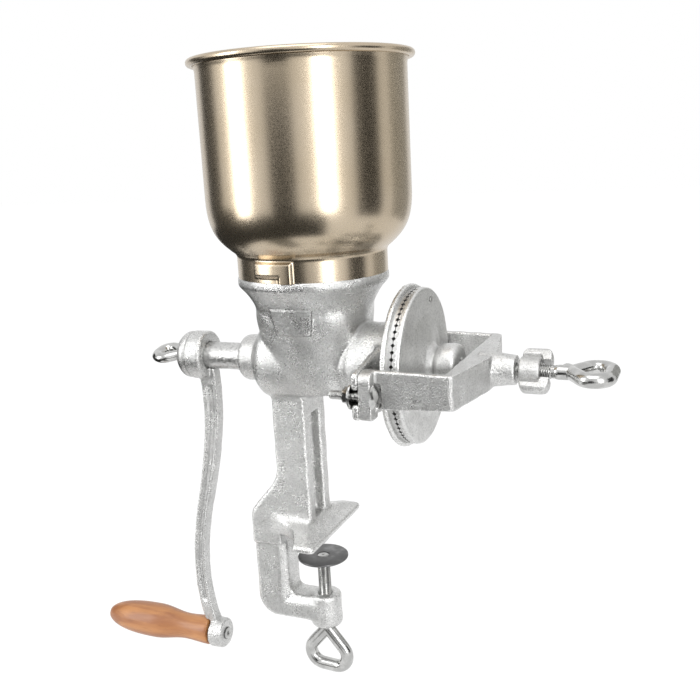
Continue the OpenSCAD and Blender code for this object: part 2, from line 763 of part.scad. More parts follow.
module plate_carrier() color(cast_grey) on_shaft() difference() {
    about_x() rotate_extrude($fn = 96) carrier_outline();
    rod_x(shaft_tip_r + pin_hole_gap, moving_back - cut, shaft_tip_end + seat_gap);
    rod_x(socket_r, shaft_tip_end, carrier_hub_end + cut);
    for (i = [0 : 2]) rotate([rivet_angle + 120 * i, 0, 0]) translate([0, rivet_circle_r, 0])
        rod_x(rivet_r + pin_hole_gap, moving_back - cut, carrier_back + cut);
    rotate([carrier_pin_angle, 0, 0]) translate([carrier_pin_x, 0, 0]) rotate([90, 0, 0])
        cylinder(r = carrier_pin_r + pin_hole_gap, h = 3 * carrier_hub_r, center = true);
}

module moving_plate_rivets() color(zinc) on_shaft()
    for (i = [0 : 2]) rotate([rivet_angle + 120 * i, 0, 0]) translate([0, rivet_circle_r, 0]) {
        rod_x(rivet_r, moving_back - rivet_bite + seat_gap, carrier_back);
        rod_x(rivet_r * 1.2, carrier_back, carrier_back + rivet_head_rise);
    }

module carrier_pin() color(zinc) on_shaft()
    rotate([carrier_pin_angle, 0, 0]) translate([carrier_pin_x, 0, 0]) rotate([90, 0, 0])
        cylinder(r = carrier_pin_r, h = 2 * (carrier_hub_r + carrier_pin_r / 2), center = true);

module thrust_ball() color(zinc) on_shaft() translate([ball_x, 0, 0]) sphere(ball_r);

// Cast shaft with the auger's flight
module auger_shaft() color(cast_grey) on_shaft() difference() {
    union() {
        rod_x(shaft_r, -shaft_end, flange_front);
        rod_x(shaft_tip_r, flange_front - cut, shaft_tip_end);
        translate([flight_start, 0, 0]) about_x()
            linear_extrude(flight_end - flight_start, twist = 360 * flight_turns, slices = 56, $fn = 12)
                translate([shaft_r - cut, -flight_t / 2]) square([flight_h + cut, flight_t]);
    }
    translate([-shaft_end - cut, -shaft_r - cut, shaft_r - shaft_flat])
        cube([shaft_seat_len, 2 * (shaft_r + cut), shaft_flat + cut]);
    rod_x(small_screw_r + thread_gap, -shaft_end - cut, -shaft_end + crank_screw_bite + cut);
    rotate([carrier_pin_angle, 0, 0]) translate([carrier_pin_x, 0, 0]) rotate([90, 0, 0])
        cylinder(r = carrier_pin_r + pin_hole_gap, h = 3 * carrier_hub_r, center = true);
}

// Flat shape of a foot of the yoke, to the +Y side
module foot_shape() {
    inner = yoke_half_w - yoke_arm_t;
    polygon(concat(
        [[inner, -foot_low]],
        arc([foot_reach - lug_round, -foot_low + lug_round], lug_round, -90, 0, 5),
        arc([foot_reach - foot_round, foot_top - foot_round], foot_round, 0, 90, 6),
        [[inner, foot_top]]));
}

module yoke_arm_profile() polygon([
    [foot_x, -yoke_low], [foot_x, yoke_top],
    [yoke_reach, yoke_top - yoke_taper / 2], [yoke_reach, -yoke_low + yoke_taper]]);

// Plan of the crossbar: straight inside and pointed outside
module crossbar_plan() polygon(concat(
    [[yoke_inner_x, -yoke_half_w], [yoke_inner_x, yoke_half_w]],
    arc([yoke_reach - corner_round, yoke_half_w - corner_round], corner_round, 90, 10, 4),
    [[yoke_reach + yoke_point, point_half_w], [yoke_reach + yoke_point, -point_half_w]],
    arc([yoke_reach - corner_round, -yoke_half_w + corner_round], corner_round, -10, -90, 4)));

module yoke() color(cast_grey) on_shaft() difference() {
    union() {
        intersection() {
            across(2 * yoke_half_w) yoke_arm_profile();
            union() {
                translate([0, 0, -yoke_low]) linear_extrude(yoke_arm_h) crossbar_plan();
                for (side = [-1, 1])
                    translate([foot_x, side * arm_mid_y - yoke_arm_t / 2, -yoke_low])
                        cube([yoke_inner_x - foot_x + cut, yoke_arm_t, yoke_arm_h]);
            }
        }
        translate([0, 0, -yoke_low + yoke_taper])
            linear_extrude(yoke_arm_h - yoke_taper * 1.5) crossbar_plan();
        along_x(foot_x, foot_t) foot_shape();
        along_x(foot_x, foot_t) mirror([1, 0]) foot_shape();
        translate([yoke_reach, 0, 0]) about_x()
            cylinder(r1 = nose_root_r, r2 = nose_r, h = nose_end - yoke_reach);
    }
    rod_x(screw_r + thread_gap, yoke_inner_x - cut, nose_end + cut);
    for (side = [-1, 1]) translate([0, side * bolt_y, -bolt_drop])
        rod_x(bolt_r + bolt_hole_gap, foot_x - cut, flange_back + cut);
    for (side = [-1, 1]) translate([flange_back, side * bolt_y, -bolt_drop])
        rod_x(bolt_head_r + bolt_hole_gap, 0, bolt_head_h + bolt_hole_gap);
}

// Round-headed bolts that hold the yoke to the lugs
module yoke_bolts() color(zinc) on_shaft()
    for (side = [-1, 1]) translate([0, side * bolt_y, -bolt_drop]) {
        rod_x(bolt_r, lug_x - bolt_tail, flange_back + cut);
        translate([flange_back, 0, 0]) about_x() rotate_extrude() polygon(concat(
            [[0, 0]],
            arc([0, bolt_head_h - dome_r], dome_r, dome_angle, 90, 8)));
    }

module yoke_washer(side) color(zinc) on_shaft() translate([0, side * bolt_y, -bolt_drop]) difference() {
    rod_x(washer_r, lug_x - washer_t, lug_x);
    rod_x(bolt_r + thread_gap, lug_x - washer_t - cut, lug_x + cut);
}
module yoke_washer_near() yoke_washer(-1);
module yoke_washer_far() yoke_washer(1);

module yoke_nut(side) color(zinc) on_shaft()
    translate([lug_x - washer_t - nut_t, side * bolt_y, -bolt_drop]) difference() {
        about_x() cylinder(r = nut_r, h = nut_t, $fn = 6);
        rod_x(bolt_r + thread_gap, -cut, nut_t + cut);
    }
module yoke_nut_near() yoke_nut(-1);
module yoke_nut_far() yoke_nut(1);

// Closed loop bent from rod, in the XY plane, from its apex at the origin towards +X;
// one strand runs past the apex by the tail
module rod_loop(width, length, rod, tail) {
    bend = rod * loop_bend_share;
    cx = length - rod / 2 - bend;
    cy = width / 2 - rod / 2 - bend;
    reach = sqrt(cx * cx + cy * cy);
    lean = atan2(cy, cx) + asin(bend / reach);
    strand = sqrt(reach * reach - bend * bend);
    for (side = [0, 1]) mirror([0, side, 0]) {
        rotate([0, 0, lean]) rotate([0, 90, 0]) translate([0, 0, -side * tail])
            cylinder(d = rod, h = strand + side * tail + joint_overlap, $fn = 32);
        translate([cx, cy, 0]) rotate_extrude(angle = lean + 90, $fn = 32)
            translate([bend, 0]) circle(d = rod + bend_swell, $fn = 32);
    }
    translate([cx + bend, 0, 0]) rotate([90, 0, 0])
        cylinder(d = rod, h = 2 * (cy + joint_overlap), center = true, $fn = 32);
    sphere(d = rod + bend_swell, $fn = 32);
}

module adjusting_screw() color(zinc) on_shaft() {
    rod_x(screw_r, adjust_tip, adjust_shank_end);
    translate([adjust_shank_end, 0, 0]) rotate([adjust_loop_tilt, 0, 0])
        rod_loop(loop_w, adjust_loop_len, rod_d, adjust_tail);
}

// Wing nut that locks the adjusting screw
module lock_nut() color(cast_grey) on_shaft() translate([lock_nut_x, 0, 0]) difference() {
    union() {
        about_x() cylinder(r1 = lock_hub_r, r2 = lock_hub_r - ear_round / 4, h = lock_hub_len);
        rotate([ear_angle, 0, 0]) linear_extrude(ear_t, center = true) {
            translate([0, -ear_reach + ear_round]) square([ear_len, 2 * (ear_reach - ear_round)]);
            translate([ear_round, -ear_reach]) square([ear_len - 2 * ear_round, 2 * ear_reach]);
            for (x = [ear_round, ear_len - ear_round], y = [-1, 1])
                translate([x, y * (ear_reach - ear_round)]) circle(ear_round, $fn = 32);
        }
    }
    rod_x(screw_r + thread_gap, -cut, lock_hub_len + cut);
    translate([lock_hub_len, 0, 0]) about_x() cylinder(r = lock_hub_r - ear_round / 4, h = ear_len);
}

// Centre line of the crank's arm: an S from the hub to the end boss, as x over z
arm_line = concat(
    curve([[arm_start_x, 0], [arm_bow_x, -crank_len * 0.13], [arm_bow_x, -crank_len * 0.24],
        [(arm_bow_x + arm_low_x) / 2, -crank_len * 0.47]], arm_points / 2),
    curve([[(arm_bow_x + arm_low_x) / 2, -crank_len * 0.47], [arm_low_x, -crank_len * 0.68],
        [arm_low_x - arm_t / 4, -crank_len * 0.84], [arm_end_x, -crank_len]], arm_points / 2));

// Outline of the arm, or of its groove when the share is below one
module arm_profile(share, first, last) {
    count = len(arm_line) - 1;
    left = [for (i = [first : last]) let (
        d = arm_line[min(i + 1, count)] - arm_line[max(i - 1, 0)],
        w = (arm_w + (arm_end_w - arm_w) * min(1, 1.6 * i / count)) * share / 2)
        arm_line[i] + w * [-d[1], d[0]] / norm(d)];
    right = [for (i = [first : last]) let (
        d = arm_line[min(i + 1, count)] - arm_line[max(i - 1, 0)],
        w = (arm_w + (arm_end_w - arm_w) * min(1, 1.6 * i / count)) * share / 2)
        arm_line[i] - w * [-d[1], d[0]] / norm(d)];
    polygon(concat(left, reversed(right)));
}

module crank_arm() color(cast_grey) on_shaft() difference() {
    union() {
        about_x() rotate_extrude() polygon(concat(
            [[0, hub_x]],
            arc([crank_hub_r - hub_edge, hub_x + hub_edge], hub_edge, -90, 0, 6),
            [[crank_hub_r, -crank_reach - hub_face_edge], [crank_hub_r - hub_face_edge, -crank_reach],
                [0, -crank_reach]]));
        across(arm_t) arm_profile(1, 0, len(arm_line) - 1);
        translate([end_boss_x, 0, -crank_len]) about_x() rotate_extrude() polygon([
            [0, 0], [end_boss_r - end_boss_edge, 0], [end_boss_r, end_boss_edge],
            [end_boss_r, end_boss_len - end_boss_edge], [end_boss_r - end_boss_edge, end_boss_len],
            [0, end_boss_len]]);
    }
    for (side = [0, 1]) mirror([0, side, 0])
        translate([0, arm_t / 2 - arm_groove_depth + arm_t / 2, 0])
            across(arm_t) arm_profile(arm_groove_w_share, 3, len(arm_line) - 4);
    difference() {
        rod_x(shaft_r + shaft_seat_gap, -shaft_end - shaft_seat_gap, -crank_reach + arm_w);
        translate([-shaft_end - cut, -shaft_r - cut, shaft_r - shaft_flat + shaft_seat_gap])
            cube([shaft_seat_len - 2 * cut, 2 * (shaft_r + cut), shaft_flat + cut]);
    }
    rod_x(small_screw_r + thread_gap, hub_x - cut, -shaft_end + cut);
    translate([0, 0, -crank_len]) {
        rod_x(spindle_r + pin_hole_gap, end_boss_x - cut, end_boss_x + end_boss_len + cut);
        rod_x(spot_face_r, arm_low_x - arm_t, end_boss_x);
    }
}

// Screw with a bent-rod loop that holds the crank on the shaft
module crank_screw() color(zinc) on_shaft() rotate([small_loop_tilt, 0, 0]) {
    rod_x(small_screw_r, hub_x - small_rod_d / 2, -shaft_end + crank_screw_bite);
    translate([hub_x - small_rod_d / 2, 0, 0]) rotate([0, 0, 180])
        rod_loop(small_loop_w, small_loop_len, small_rod_d, short_tail);
}

// Radius of the turned grip at a share t of its length, from the arm outwards
function grip_r(t) =
    t < 0.22 ? grip_end_r + (grip_neck_d / 2 - grip_end_r) * (1 - cos(180 * t / 0.22)) / 2
    : t < 0.52 ? grip_neck_d / 2 + (grip_d - grip_neck_d) / 2 * (1 - cos(180 * (t - 0.22) / 0.3)) / 2
    : grip_d / 2 * sqrt(max(0, 1 - pow((t - 0.52) / 0.48, 2.6)));

// Turned grip with a bore for its spindle
module grip() color(wood_tan) on_shaft()
    translate([grip_x, 0, -crank_len]) rotate([0, -90, 0]) difference() {
    rotate_extrude() polygon(concat([[0, 0]],
        [for (i = [0 : grip_points]) let (t = i / grip_points) [grip_r(t), t * grip_len]]));
    translate([0, 0, -cut]) cylinder(r = spindle_r + grip_bore_gap, h = grip_len + 2 * cut);
    translate([0, 0, grip_len - spindle_recess - spindle_head_h])
        cylinder(r = spindle_head_r + grip_bore_gap, h = spindle_recess + spindle_head_h + cut);
}

// Headed spindle on which the grip turns, riveted over in the end boss
module grip_spindle() color(zinc) on_shaft() translate([0, 0, -crank_len]) {
    head_x = grip_x - grip_len + spindle_recess;
    rod_x(spindle_r, head_x, end_boss_x + end_boss_len + spindle_rivet_h);
    rod_x(spindle_head_r, head_x, head_x + spindle_head_h - seat_gap);
    rod_x(spindle_rivet_r, end_boss_x + end_boss_len, end_boss_x + end_boss_len + spindle_rivet_h);
}

module grip_washer() color(zinc) on_shaft() translate([0, 0, -crank_len]) difference() {
    rod_x(grip_washer_r, end_boss_x - grip_gap + 2 * seat_gap, end_boss_x);
    rod_x(spindle_r + pin_hole_gap, grip_x - cut, end_boss_x + cut);
}

module clamp_screw() color(zinc) {
    shank_end = boss_low - clamp_loop_gap;
    translate([0, 0, shank_end]) cylinder(r = screw_r, h = -shank_end - pad_drop - pad_t - seat_gap);
    translate([0, 0, shank_end]) cylinder(r = pad_hole_r - pad_neck_gap, h = -shank_end - pad_drop);
    translate([0, 0, -pad_drop - pad_dish + seat_gap])
        cylinder(r = pad_rivet_r - pad_neck_gap, h = pad_rivet_h);
    translate([0, 0, shank_end]) rotate([0, 0, clamp_loop_turn]) rotate([0, 90, 0])
        rod_loop(loop_w, clamp_loop_len, rod_d, short_tail);
}

// Swivelling pad with a sunk middle for the screw's riveted tip
module clamp_pad() color(dark_steel) translate([0, 0, -pad_drop - pad_t]) difference() {
    cylinder(d = pad_d, h = pad_t);
    translate([0, 0, -cut]) cylinder(r = pad_hole_r, h = pad_t + 2 * cut);
    translate([0, 0, pad_t - pad_dish]) cylinder(r = pad_rivet_r, h = pad_dish + cut);
}

mill_body();
hopper();
auger_shaft();
fixed_plate();
fixed_plate_screws();
moving_plate();
plate_carrier();
moving_plate_rivets();
carrier_pin();
thrust_ball();
yoke();
yoke_bolts();
yoke_washer_near();
yoke_washer_far();
yoke_nut_near();
yoke_nut_far();
adjusting_screw();
lock_nut();
crank_arm();
crank_screw();
grip();
grip_spindle();
grip_washer();
clamp_screw();
clamp_pad();
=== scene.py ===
"""Dresses the hand grain mill: castings with rounded inner corners and a sand-cast skin, a spun
hopper with pressed bayonet channels, screws with real threads and bent-rod loops, a turned
wooden grip, and the studio around them. Lengths in the functions are millimetres in the part's
own frame; the meshes are stored in metres."""
import math
import bmesh
import bpy
import numpy as np
from bpy.props import FloatProperty, FloatVectorProperty, PointerProperty
from mathutils import Matrix, Vector


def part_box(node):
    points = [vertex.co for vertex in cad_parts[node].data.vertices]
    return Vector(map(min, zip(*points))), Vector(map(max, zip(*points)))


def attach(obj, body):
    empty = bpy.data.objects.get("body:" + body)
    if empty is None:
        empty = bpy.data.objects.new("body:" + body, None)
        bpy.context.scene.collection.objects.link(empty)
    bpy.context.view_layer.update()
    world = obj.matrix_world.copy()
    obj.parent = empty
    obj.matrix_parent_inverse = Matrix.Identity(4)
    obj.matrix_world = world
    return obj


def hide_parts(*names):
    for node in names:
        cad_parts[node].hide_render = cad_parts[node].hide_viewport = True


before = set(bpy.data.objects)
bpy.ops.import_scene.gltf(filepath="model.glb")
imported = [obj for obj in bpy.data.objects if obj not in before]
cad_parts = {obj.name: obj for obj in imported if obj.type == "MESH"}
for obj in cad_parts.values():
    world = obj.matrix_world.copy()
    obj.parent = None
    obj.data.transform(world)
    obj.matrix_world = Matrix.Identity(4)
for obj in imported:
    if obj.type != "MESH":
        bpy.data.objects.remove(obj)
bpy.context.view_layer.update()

bl_info = {
    "name": "Hand grain mill",
    "version": (1, 0, 0),
    "blender": (4, 5, 0),
    "location": "View3D > Sidebar > Grain mill",
    "description": "Builds the dressed pieces of a hand grain mill and its studio",
    "category": "Mesh",
}

MM = 0.001
# Points closer than this, in metres, are one
MERGE = 1e-6
# Where the hopper's axis meets the shaft's line
SHAFT = np.array([6.5, 0.0, 130.0])
CRANK_LENGTH = 233.5
# Bare panel on the funnel: Z of its middle above the shaft, half its size, and how far it stands out.
# Its sides rise by the slope for 1 mm outwards
PANEL_Z = 35.0
PANEL_HALF_WIDTH = 14.5
PANEL_HALF_HEIGHT = 9.0
PANEL_RISE = 0.9
PANEL_SLOPE = 6.0


def box_mm(node):
    """Lowest and highest corner of a CAD node in millimetres."""
    low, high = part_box(node)
    return np.array(low) / MM, np.array(high) / MM


# Shapes

def unit(v):
    """v divided by its length, along the last axis."""
    return v / np.linalg.norm(v, axis=-1, keepdims=True)


def smoothstep(low, high, x):
    """0 below low, 1 above high, and 3s² - 2s³ between them."""
    s = np.clip((x - low) / (high - low), 0, 1)
    return s * s * (3 - 2 * s)


def rounded(corners, radii, steps=6):
    """Closed polyline whose corner P with radius R is the arc that touches both its sides:
    the arc's centre lies on the bisector at R / sin(half angle) from P."""
    points = np.asarray(corners, float)
    parts = []
    for i, radius in enumerate(radii):
        p = points[i]
        if radius <= 0:
            parts.append(p[None])
            continue
        a, b = unit(points[i - 1] - p), unit(points[(i + 1) % len(points)] - p)
        half = np.arccos(np.clip(a @ b, -1, 1)) / 2
        centre = p + unit(a + b) * radius / np.sin(half)
        u0 = unit(p + a * radius / np.tan(half) - centre)
        u1 = unit(p + b * radius / np.tan(half) - centre)
        turn = np.arccos(np.clip(u0 @ u1, -1, 1))
        k = np.linspace(0, 1, steps + 1)[:, None]
        arc = np.sin((1 - k) * turn) * u0 + np.sin(k * turn) * u1
        parts.append(centre + radius * arc / np.sin(turn))
    return np.concatenate(parts)


def cubic(p, count):
    """Cubic curve s³P0 + 3s²tP1 + 3st²P2 + t³P3 with s = 1 - t."""
    p = np.asarray(p, float)
    t = np.linspace(0, 1, count)[:, None]
    s = 1 - t
    return s ** 3 * p[0] + 3 * s * s * t * p[1] + 3 * s * t * t * p[2] + t ** 3 * p[3]


def spaced(path, step):
    """The same polyline with points at even steps of arc length."""
    length = np.concatenate([[0], np.cumsum(np.linalg.norm(np.diff(path, axis=0), axis=1))])
    at = np.linspace(0, length[-1], max(int(length[-1] / step), 2) + 1)
    return np.stack([np.interp(at, length, path[:, k]) for k in range(path.shape[1])], -1)


def round_z(r, t, z):
    """Points at radius r, angle t and height z round the Z axis."""
    return np.stack(np.broadcast_arrays(r * np.cos(t), r * np.sin(t), z), -1)


def turned(profile, count=96):
    """Surface of revolution: height h and radius r of the profile, turned by t, give the point
    (r cos t, r sin t, h)."""
    h, r = np.asarray(profile, float).T
    t = np.linspace(0, 2 * np.pi, count, endpoint=False)
    return round_z(r[:, None], t, h[:, None])


def threaded(start, end, crest, pitch, depth, count=28, rows=8):
    """Right-hand thread round +Z: the radius is the core plus the depth times a flat-topped
    triangle wave of z / pitch - t / 2π, and it runs out over one pitch at both ends."""
    z = np.linspace(start, end, max(int(abs(end - start) / pitch * rows), 4))[:, None]
    t = np.linspace(0, 2 * np.pi, count, endpoint=False)[None]
    wave = np.abs(2 * np.mod(z / pitch - t / (2 * np.pi), 1) - 1)
    low, high = min(start, end), max(start, end)
    fade = smoothstep(low, low + pitch, z) * smoothstep(high, high - pitch, z)
    steepness, shift = 1.25, 0.05
    r = crest - depth * (1 - np.clip(steepness * wave - shift, 0, 1) * fade)
    grid = round_z(r, t, z)
    if end < start:
        grid = grid[::-1]
    return capped(grid)


def capped(grid):
    """Closes an open tube of points with a pole at the middle of each end ring."""
    first = np.repeat(grid[:1].mean(1, keepdims=True), grid.shape[1], 1)
    last = np.repeat(grid[-1:].mean(1, keepdims=True), grid.shape[1], 1)
    return np.concatenate([first, grid, last])


def tube(path, radius, normal, count=28, flat=1.0):
    """Tube along a flat path: the point at angle t of a ring is C + r (flat cos t N + sin t B),
    where N is the path's own normal and B is N x tangent; both ends are closed by half balls."""
    tangent = unit(np.gradient(path, axis=0))
    side = np.cross(normal, tangent)
    r = np.broadcast_to(radius, len(path)).astype(float)
    cap = np.linspace(0, np.pi / 2, 6)[1:]
    head = path[0] - tangent[0] * (r[0] * np.sin(cap[::-1]))[:, None]
    tail = path[-1] + tangent[-1] * (r[-1] * np.sin(cap))[:, None]
    centre = np.concatenate([head, path, tail])
    r = np.concatenate([r[0] * np.cos(cap[::-1]), r, r[-1] * np.cos(cap)])
    side = np.concatenate([np.repeat(side[:1], len(cap), 0), side, np.repeat(side[-1:], len(cap), 0)])
    t = np.linspace(0, 2 * np.pi, count, endpoint=False)
    ring = flat * np.cos(t)[:, None] * normal
    return centre[:, None] + r[:, None, None] * (ring[None] + np.sin(t)[None, :, None] * side[:, None])


def about_x(grid):
    """Turns a surface made round +Z into one round +X."""
    return np.stack([grid[..., 2], grid[..., 1], -grid[..., 0]], -1)


def quads_of(shape, loop_u=False, offset=0):
    """Faces of a grid of points whose second axis closes on itself, and the first where asked."""
    nu, nv = shape
    index = offset + np.arange(nu * nv).reshape(nu, nv)
    rows = np.concatenate([index, index[:1]]) if loop_u else index
    cols = np.concatenate([rows, rows[:, :1]], 1)
    return np.stack([cols[:-1, :-1], cols[:-1, 1:], cols[1:, 1:], cols[1:, :-1]], -1).reshape(-1, 4)


def read(items, key, width=1, kind=float):
    """A property of a mesh's items as an array with one row for each item."""
    values = np.zeros(len(items) * width, kind)
    items.foreach_get(key, values)
    return values.reshape(-1, width)


def mesh_of(name, verts, quads):
    """Mesh from arrays of points in metres and of four-sided faces."""
    mesh = bpy.data.meshes.new(name)
    mesh.vertices.add(len(verts))
    mesh.vertices.foreach_set("co", np.ascontiguousarray(verts, np.float32).ravel())
    mesh.loops.add(quads.size)
    mesh.loops.foreach_set("vertex_index", np.ascontiguousarray(quads, np.int32).ravel())
    mesh.polygons.add(len(quads))
    mesh.polygons.foreach_set("loop_start", np.arange(0, quads.size, 4, dtype=np.int32))
    mesh.update(calc_edges=True)
    return mesh


def place(name, mesh, material, body, slot, node, sharp=None):
    """Puts a finished mesh in the scene, lets it ride on its body and stand for its CAD node."""
    mesh.polygons.foreach_set("use_smooth", np.ones(len(mesh.polygons), bool))
    if sharp:
        mesh.set_sharp_from_angle(angle=math.radians(sharp))
    mesh.materials.clear()
    mesh.materials.append(material)
    obj = bpy.data.objects.new(name, mesh)
    bpy.context.scene.collection.objects.link(obj)
    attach(obj, body)
    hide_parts(node)


# Height of a ridge over its neighbours that gives the tone 1: in millimetres on a piece made of
# grids, and in voxels on a casting
FULL_TONE = 0.09
FULL_TONE_VOXELS = 0.25


def piece(name, grids, material, body, slot, node=None, closed=False, sharp=40):
    """One piece from grids of points in millimetres, each closed round its second axis, and round
    its first too where closed says so. Its CAD node has its body's name if none is given."""
    verts, quads, offset = [], [], 0
    for grid in grids:
        verts.append(grid.reshape(-1, 3) * MM)
        quads.append(quads_of(grid.shape[:2], closed, offset))
        offset += len(verts[-1])
    mesh = mesh_of(name, np.concatenate(verts), np.concatenate(quads))
    bm = bmesh.new()
    bm.from_mesh(mesh)
    bmesh.ops.remove_doubles(bm, verts=bm.verts, dist=MERGE)
    bmesh.ops.dissolve_degenerate(bm, edges=bm.edges, dist=MERGE / 10)
    bmesh.ops.recalc_face_normals(bm, faces=bm.faces)
    bm.to_mesh(mesh)
    bm.free()
    a, b = read(mesh.edges, "vertices", 2, int).T
    tone = tone_of(read(mesh.vertices, "co", 3) / MM, read(mesh.vertices, "normal", 3, np.float32),
                   np.concatenate([a, b]), np.concatenate([b, a]), 2)
    write_tone(mesh, tone / FULL_TONE)
    place(name, mesh, material, body, slot, node or body, sharp)


# Castings

def remeshed(node, voxel):
    """Even quads over a merged copy of a CAD node's mesh, as points and faces."""
    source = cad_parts[node].data.copy()
    bm = bmesh.new()
    bm.from_mesh(source)
    bmesh.ops.remove_doubles(bm, verts=bm.verts, dist=MERGE)
    bm.to_mesh(source)
    bm.free()
    obj = bpy.data.objects.new("remesh_work", source)
    bpy.context.scene.collection.objects.link(obj)
    modifier = obj.modifiers.new("Remesh", "REMESH")
    modifier.mode = "VOXEL"
    modifier.voxel_size = voxel * MM
    evaluated = obj.evaluated_get(bpy.context.evaluated_depsgraph_get())
    mesh = evaluated.to_mesh()
    verts, quads = read(mesh.vertices, "co", 3) / MM, read(mesh.loops, "vertex_index", kind=int)
    evaluated.to_mesh_clear()
    bpy.data.objects.remove(obj)
    bpy.data.meshes.remove(source)
    return verts, quads.reshape(-1, 4)


def gather(index, values, count):
    """Sum of values at each index, one column at a time."""
    return np.stack([np.bincount(index, values[:, k], count) for k in range(values.shape[1])], -1)


def normals_of(verts, quads):
    """Vertex normals: the sum of the cross products of the diagonals of the faces around, made
    one long."""
    diagonal = np.cross(verts[quads[:, 2]] - verts[quads[:, 0]], verts[quads[:, 3]] - verts[quads[:, 1]])
    total = gather(quads.ravel(), np.repeat(diagonal, 4, 0), len(verts))
    return total / np.maximum(np.linalg.norm(total, axis=1, keepdims=True), 1e-12)


def filleted(node, voxel, inner, outer):
    """Copy of a casting with rounded corners. At each round a vertex is compared with the mean of
    its neighbours. Where that mean lies outside, the surface is hollow, and the vertex moves out
    until the hollow's radius is the inner fillet; where it lies inside, the vertex moves in until
    the edge's radius is the outer one. On a grid with spacing h a radius R shows as h² / 4R. The
    first rounds settle the surface with plain smoothing."""
    verts, quads = remeshed(node, voxel)
    count = len(verts)
    a, b = neighbours(quads)
    degree = np.maximum(np.bincount(a, minlength=count), 1)[:, None]
    hollow, ridge = voxel ** 2 / (4 * inner), voxel ** 2 / (4 * outer)
    rounds, settling, step, slide = 50, 4, 0.5, 0.35
    for i in range(rounds):
        mean = gather(a, verts[b], count) / degree - verts
        normal = normals_of(verts, quads)
        along = np.sum(mean * normal, 1, keepdims=True)
        push = np.maximum(along - hollow, 0) + np.minimum(along + ridge, 0)
        if i < settling:
            push = along
        verts = verts + step * push * normal + slide * (mean - along * normal)
    return verts, quads


def neighbours(quads):
    """Every side of every face, as its two ends."""
    edges = np.concatenate([quads[:, [0, 1]], quads[:, [1, 2]], quads[:, [2, 3]], quads[:, [3, 0]]])
    return edges[:, 0], edges[:, 1]


def write_tone(mesh, tone):
    """Stores the tone of ridges and hollows on the mesh for its material."""
    layer = mesh.attributes.new("ridge_tone", "FLOAT", "POINT")
    layer.data.foreach_set("value", np.ascontiguousarray(tone, np.float32))


def tone_of(verts, normals, a, b, reach=3):
    """How far each point lies on a ridge (above zero) or in a hollow (below zero): the distance
    along the normal from the mean of its neighbours, blurred over a few neighbours."""
    count = len(verts)
    degree = np.maximum(np.bincount(a, minlength=count), 1)
    wide = verts
    for _ in range(reach):
        wide = gather(a, wide[b], count) / degree[:, None]
    tone = np.sum((verts - wide) * normals, 1)
    for _ in range(2):
        tone = 0.5 * tone + 0.5 * np.bincount(a, tone[b], count) / degree
    return tone


def waves(verts, size, height, seed):
    """Gentle unevenness of a sand casting: a sum of sine waves in random directions, about as
    long as the size, over the root of their count."""
    rng, count = np.random.default_rng(seed), 9
    direction = unit(rng.normal(size=(count, 3))) * (2 * np.pi / size) * rng.uniform(0.6, 1.5, (count, 1))
    phase = rng.uniform(0, 2 * np.pi, count)
    return height / math.sqrt(count) * np.sin(verts @ direction.T + phase).sum(1, keepdims=True)


def casting(name, node, material, body, voxel, inner, outer, detail=None, uneven=0.12):
    """A casting's piece: rounded copy of its node, its own detail, the unevenness, and the tone
    of its ridges and hollows as a vertex attribute."""
    verts, quads = filleted(node, voxel, inner, outer)
    if detail:
        verts = detail(verts, normals_of(verts, quads))
    wave_length = 14
    verts = verts + waves(verts, wave_length, uneven, len(name)) * normals_of(verts, quads)
    low, high = box_mm(node)
    verts = np.clip(verts, low, high)
    mesh = mesh_of(name, verts * MM, quads)
    tone = tone_of(verts, normals_of(verts, quads), *neighbours(quads))
    write_tone(mesh, tone / (FULL_TONE_VOXELS * voxel))
    place(name, mesh, material, body, "tinned_casting", node)


def funnel_blend(verts, normals):
    """Broad foot of the funnel over a full barrel: on the two wide sides the surface is never
    behind the soft maximum of a barrel, y = sqrt(28.5^2 - z^2) over its length, and of the
    foot, y = (20 + 16 smoothstep(0, 36, z)) sqrt(1 - (x / 40)^4); it joins them softly."""
    barrel_r, barrel_x, barrel_half = 28.5, -8, 36
    foot_y, foot_spread, foot_top, foot_half = 20, 16, 36, 40
    blend, join = 3, 2.2
    x, y, z = (verts - SHAFT).T
    side = np.sign(y)
    barrel = np.sqrt(np.maximum(barrel_r ** 2 - z * z, 0))
    barrel = barrel * np.sqrt(np.maximum(1 - ((x - barrel_x) / barrel_half) ** 6, 0))
    foot = foot_y + foot_spread * smoothstep(0, foot_top, z)
    foot = foot * np.sqrt(np.maximum(1 - (x / foot_half) ** 4, 0))
    full = blend * np.logaddexp(barrel / blend, foot / blend)
    # Only the wide sides, where they face outwards, from under the barrel to the funnel's wall
    mask = smoothstep(-27, -20, z) * smoothstep(46, 36, z) * smoothstep(42, 34, np.abs(x))
    mask = mask * smoothstep(0.05, 0.4, normals[:, 1] * side) * smoothstep(10, 16, np.abs(y))
    most = 6
    gap = (full - np.abs(y)) / join
    push = join * np.logaddexp(0, np.minimum(gap, most)) * mask
    return verts + (push * side)[:, None] * np.array([0, 1, 0])


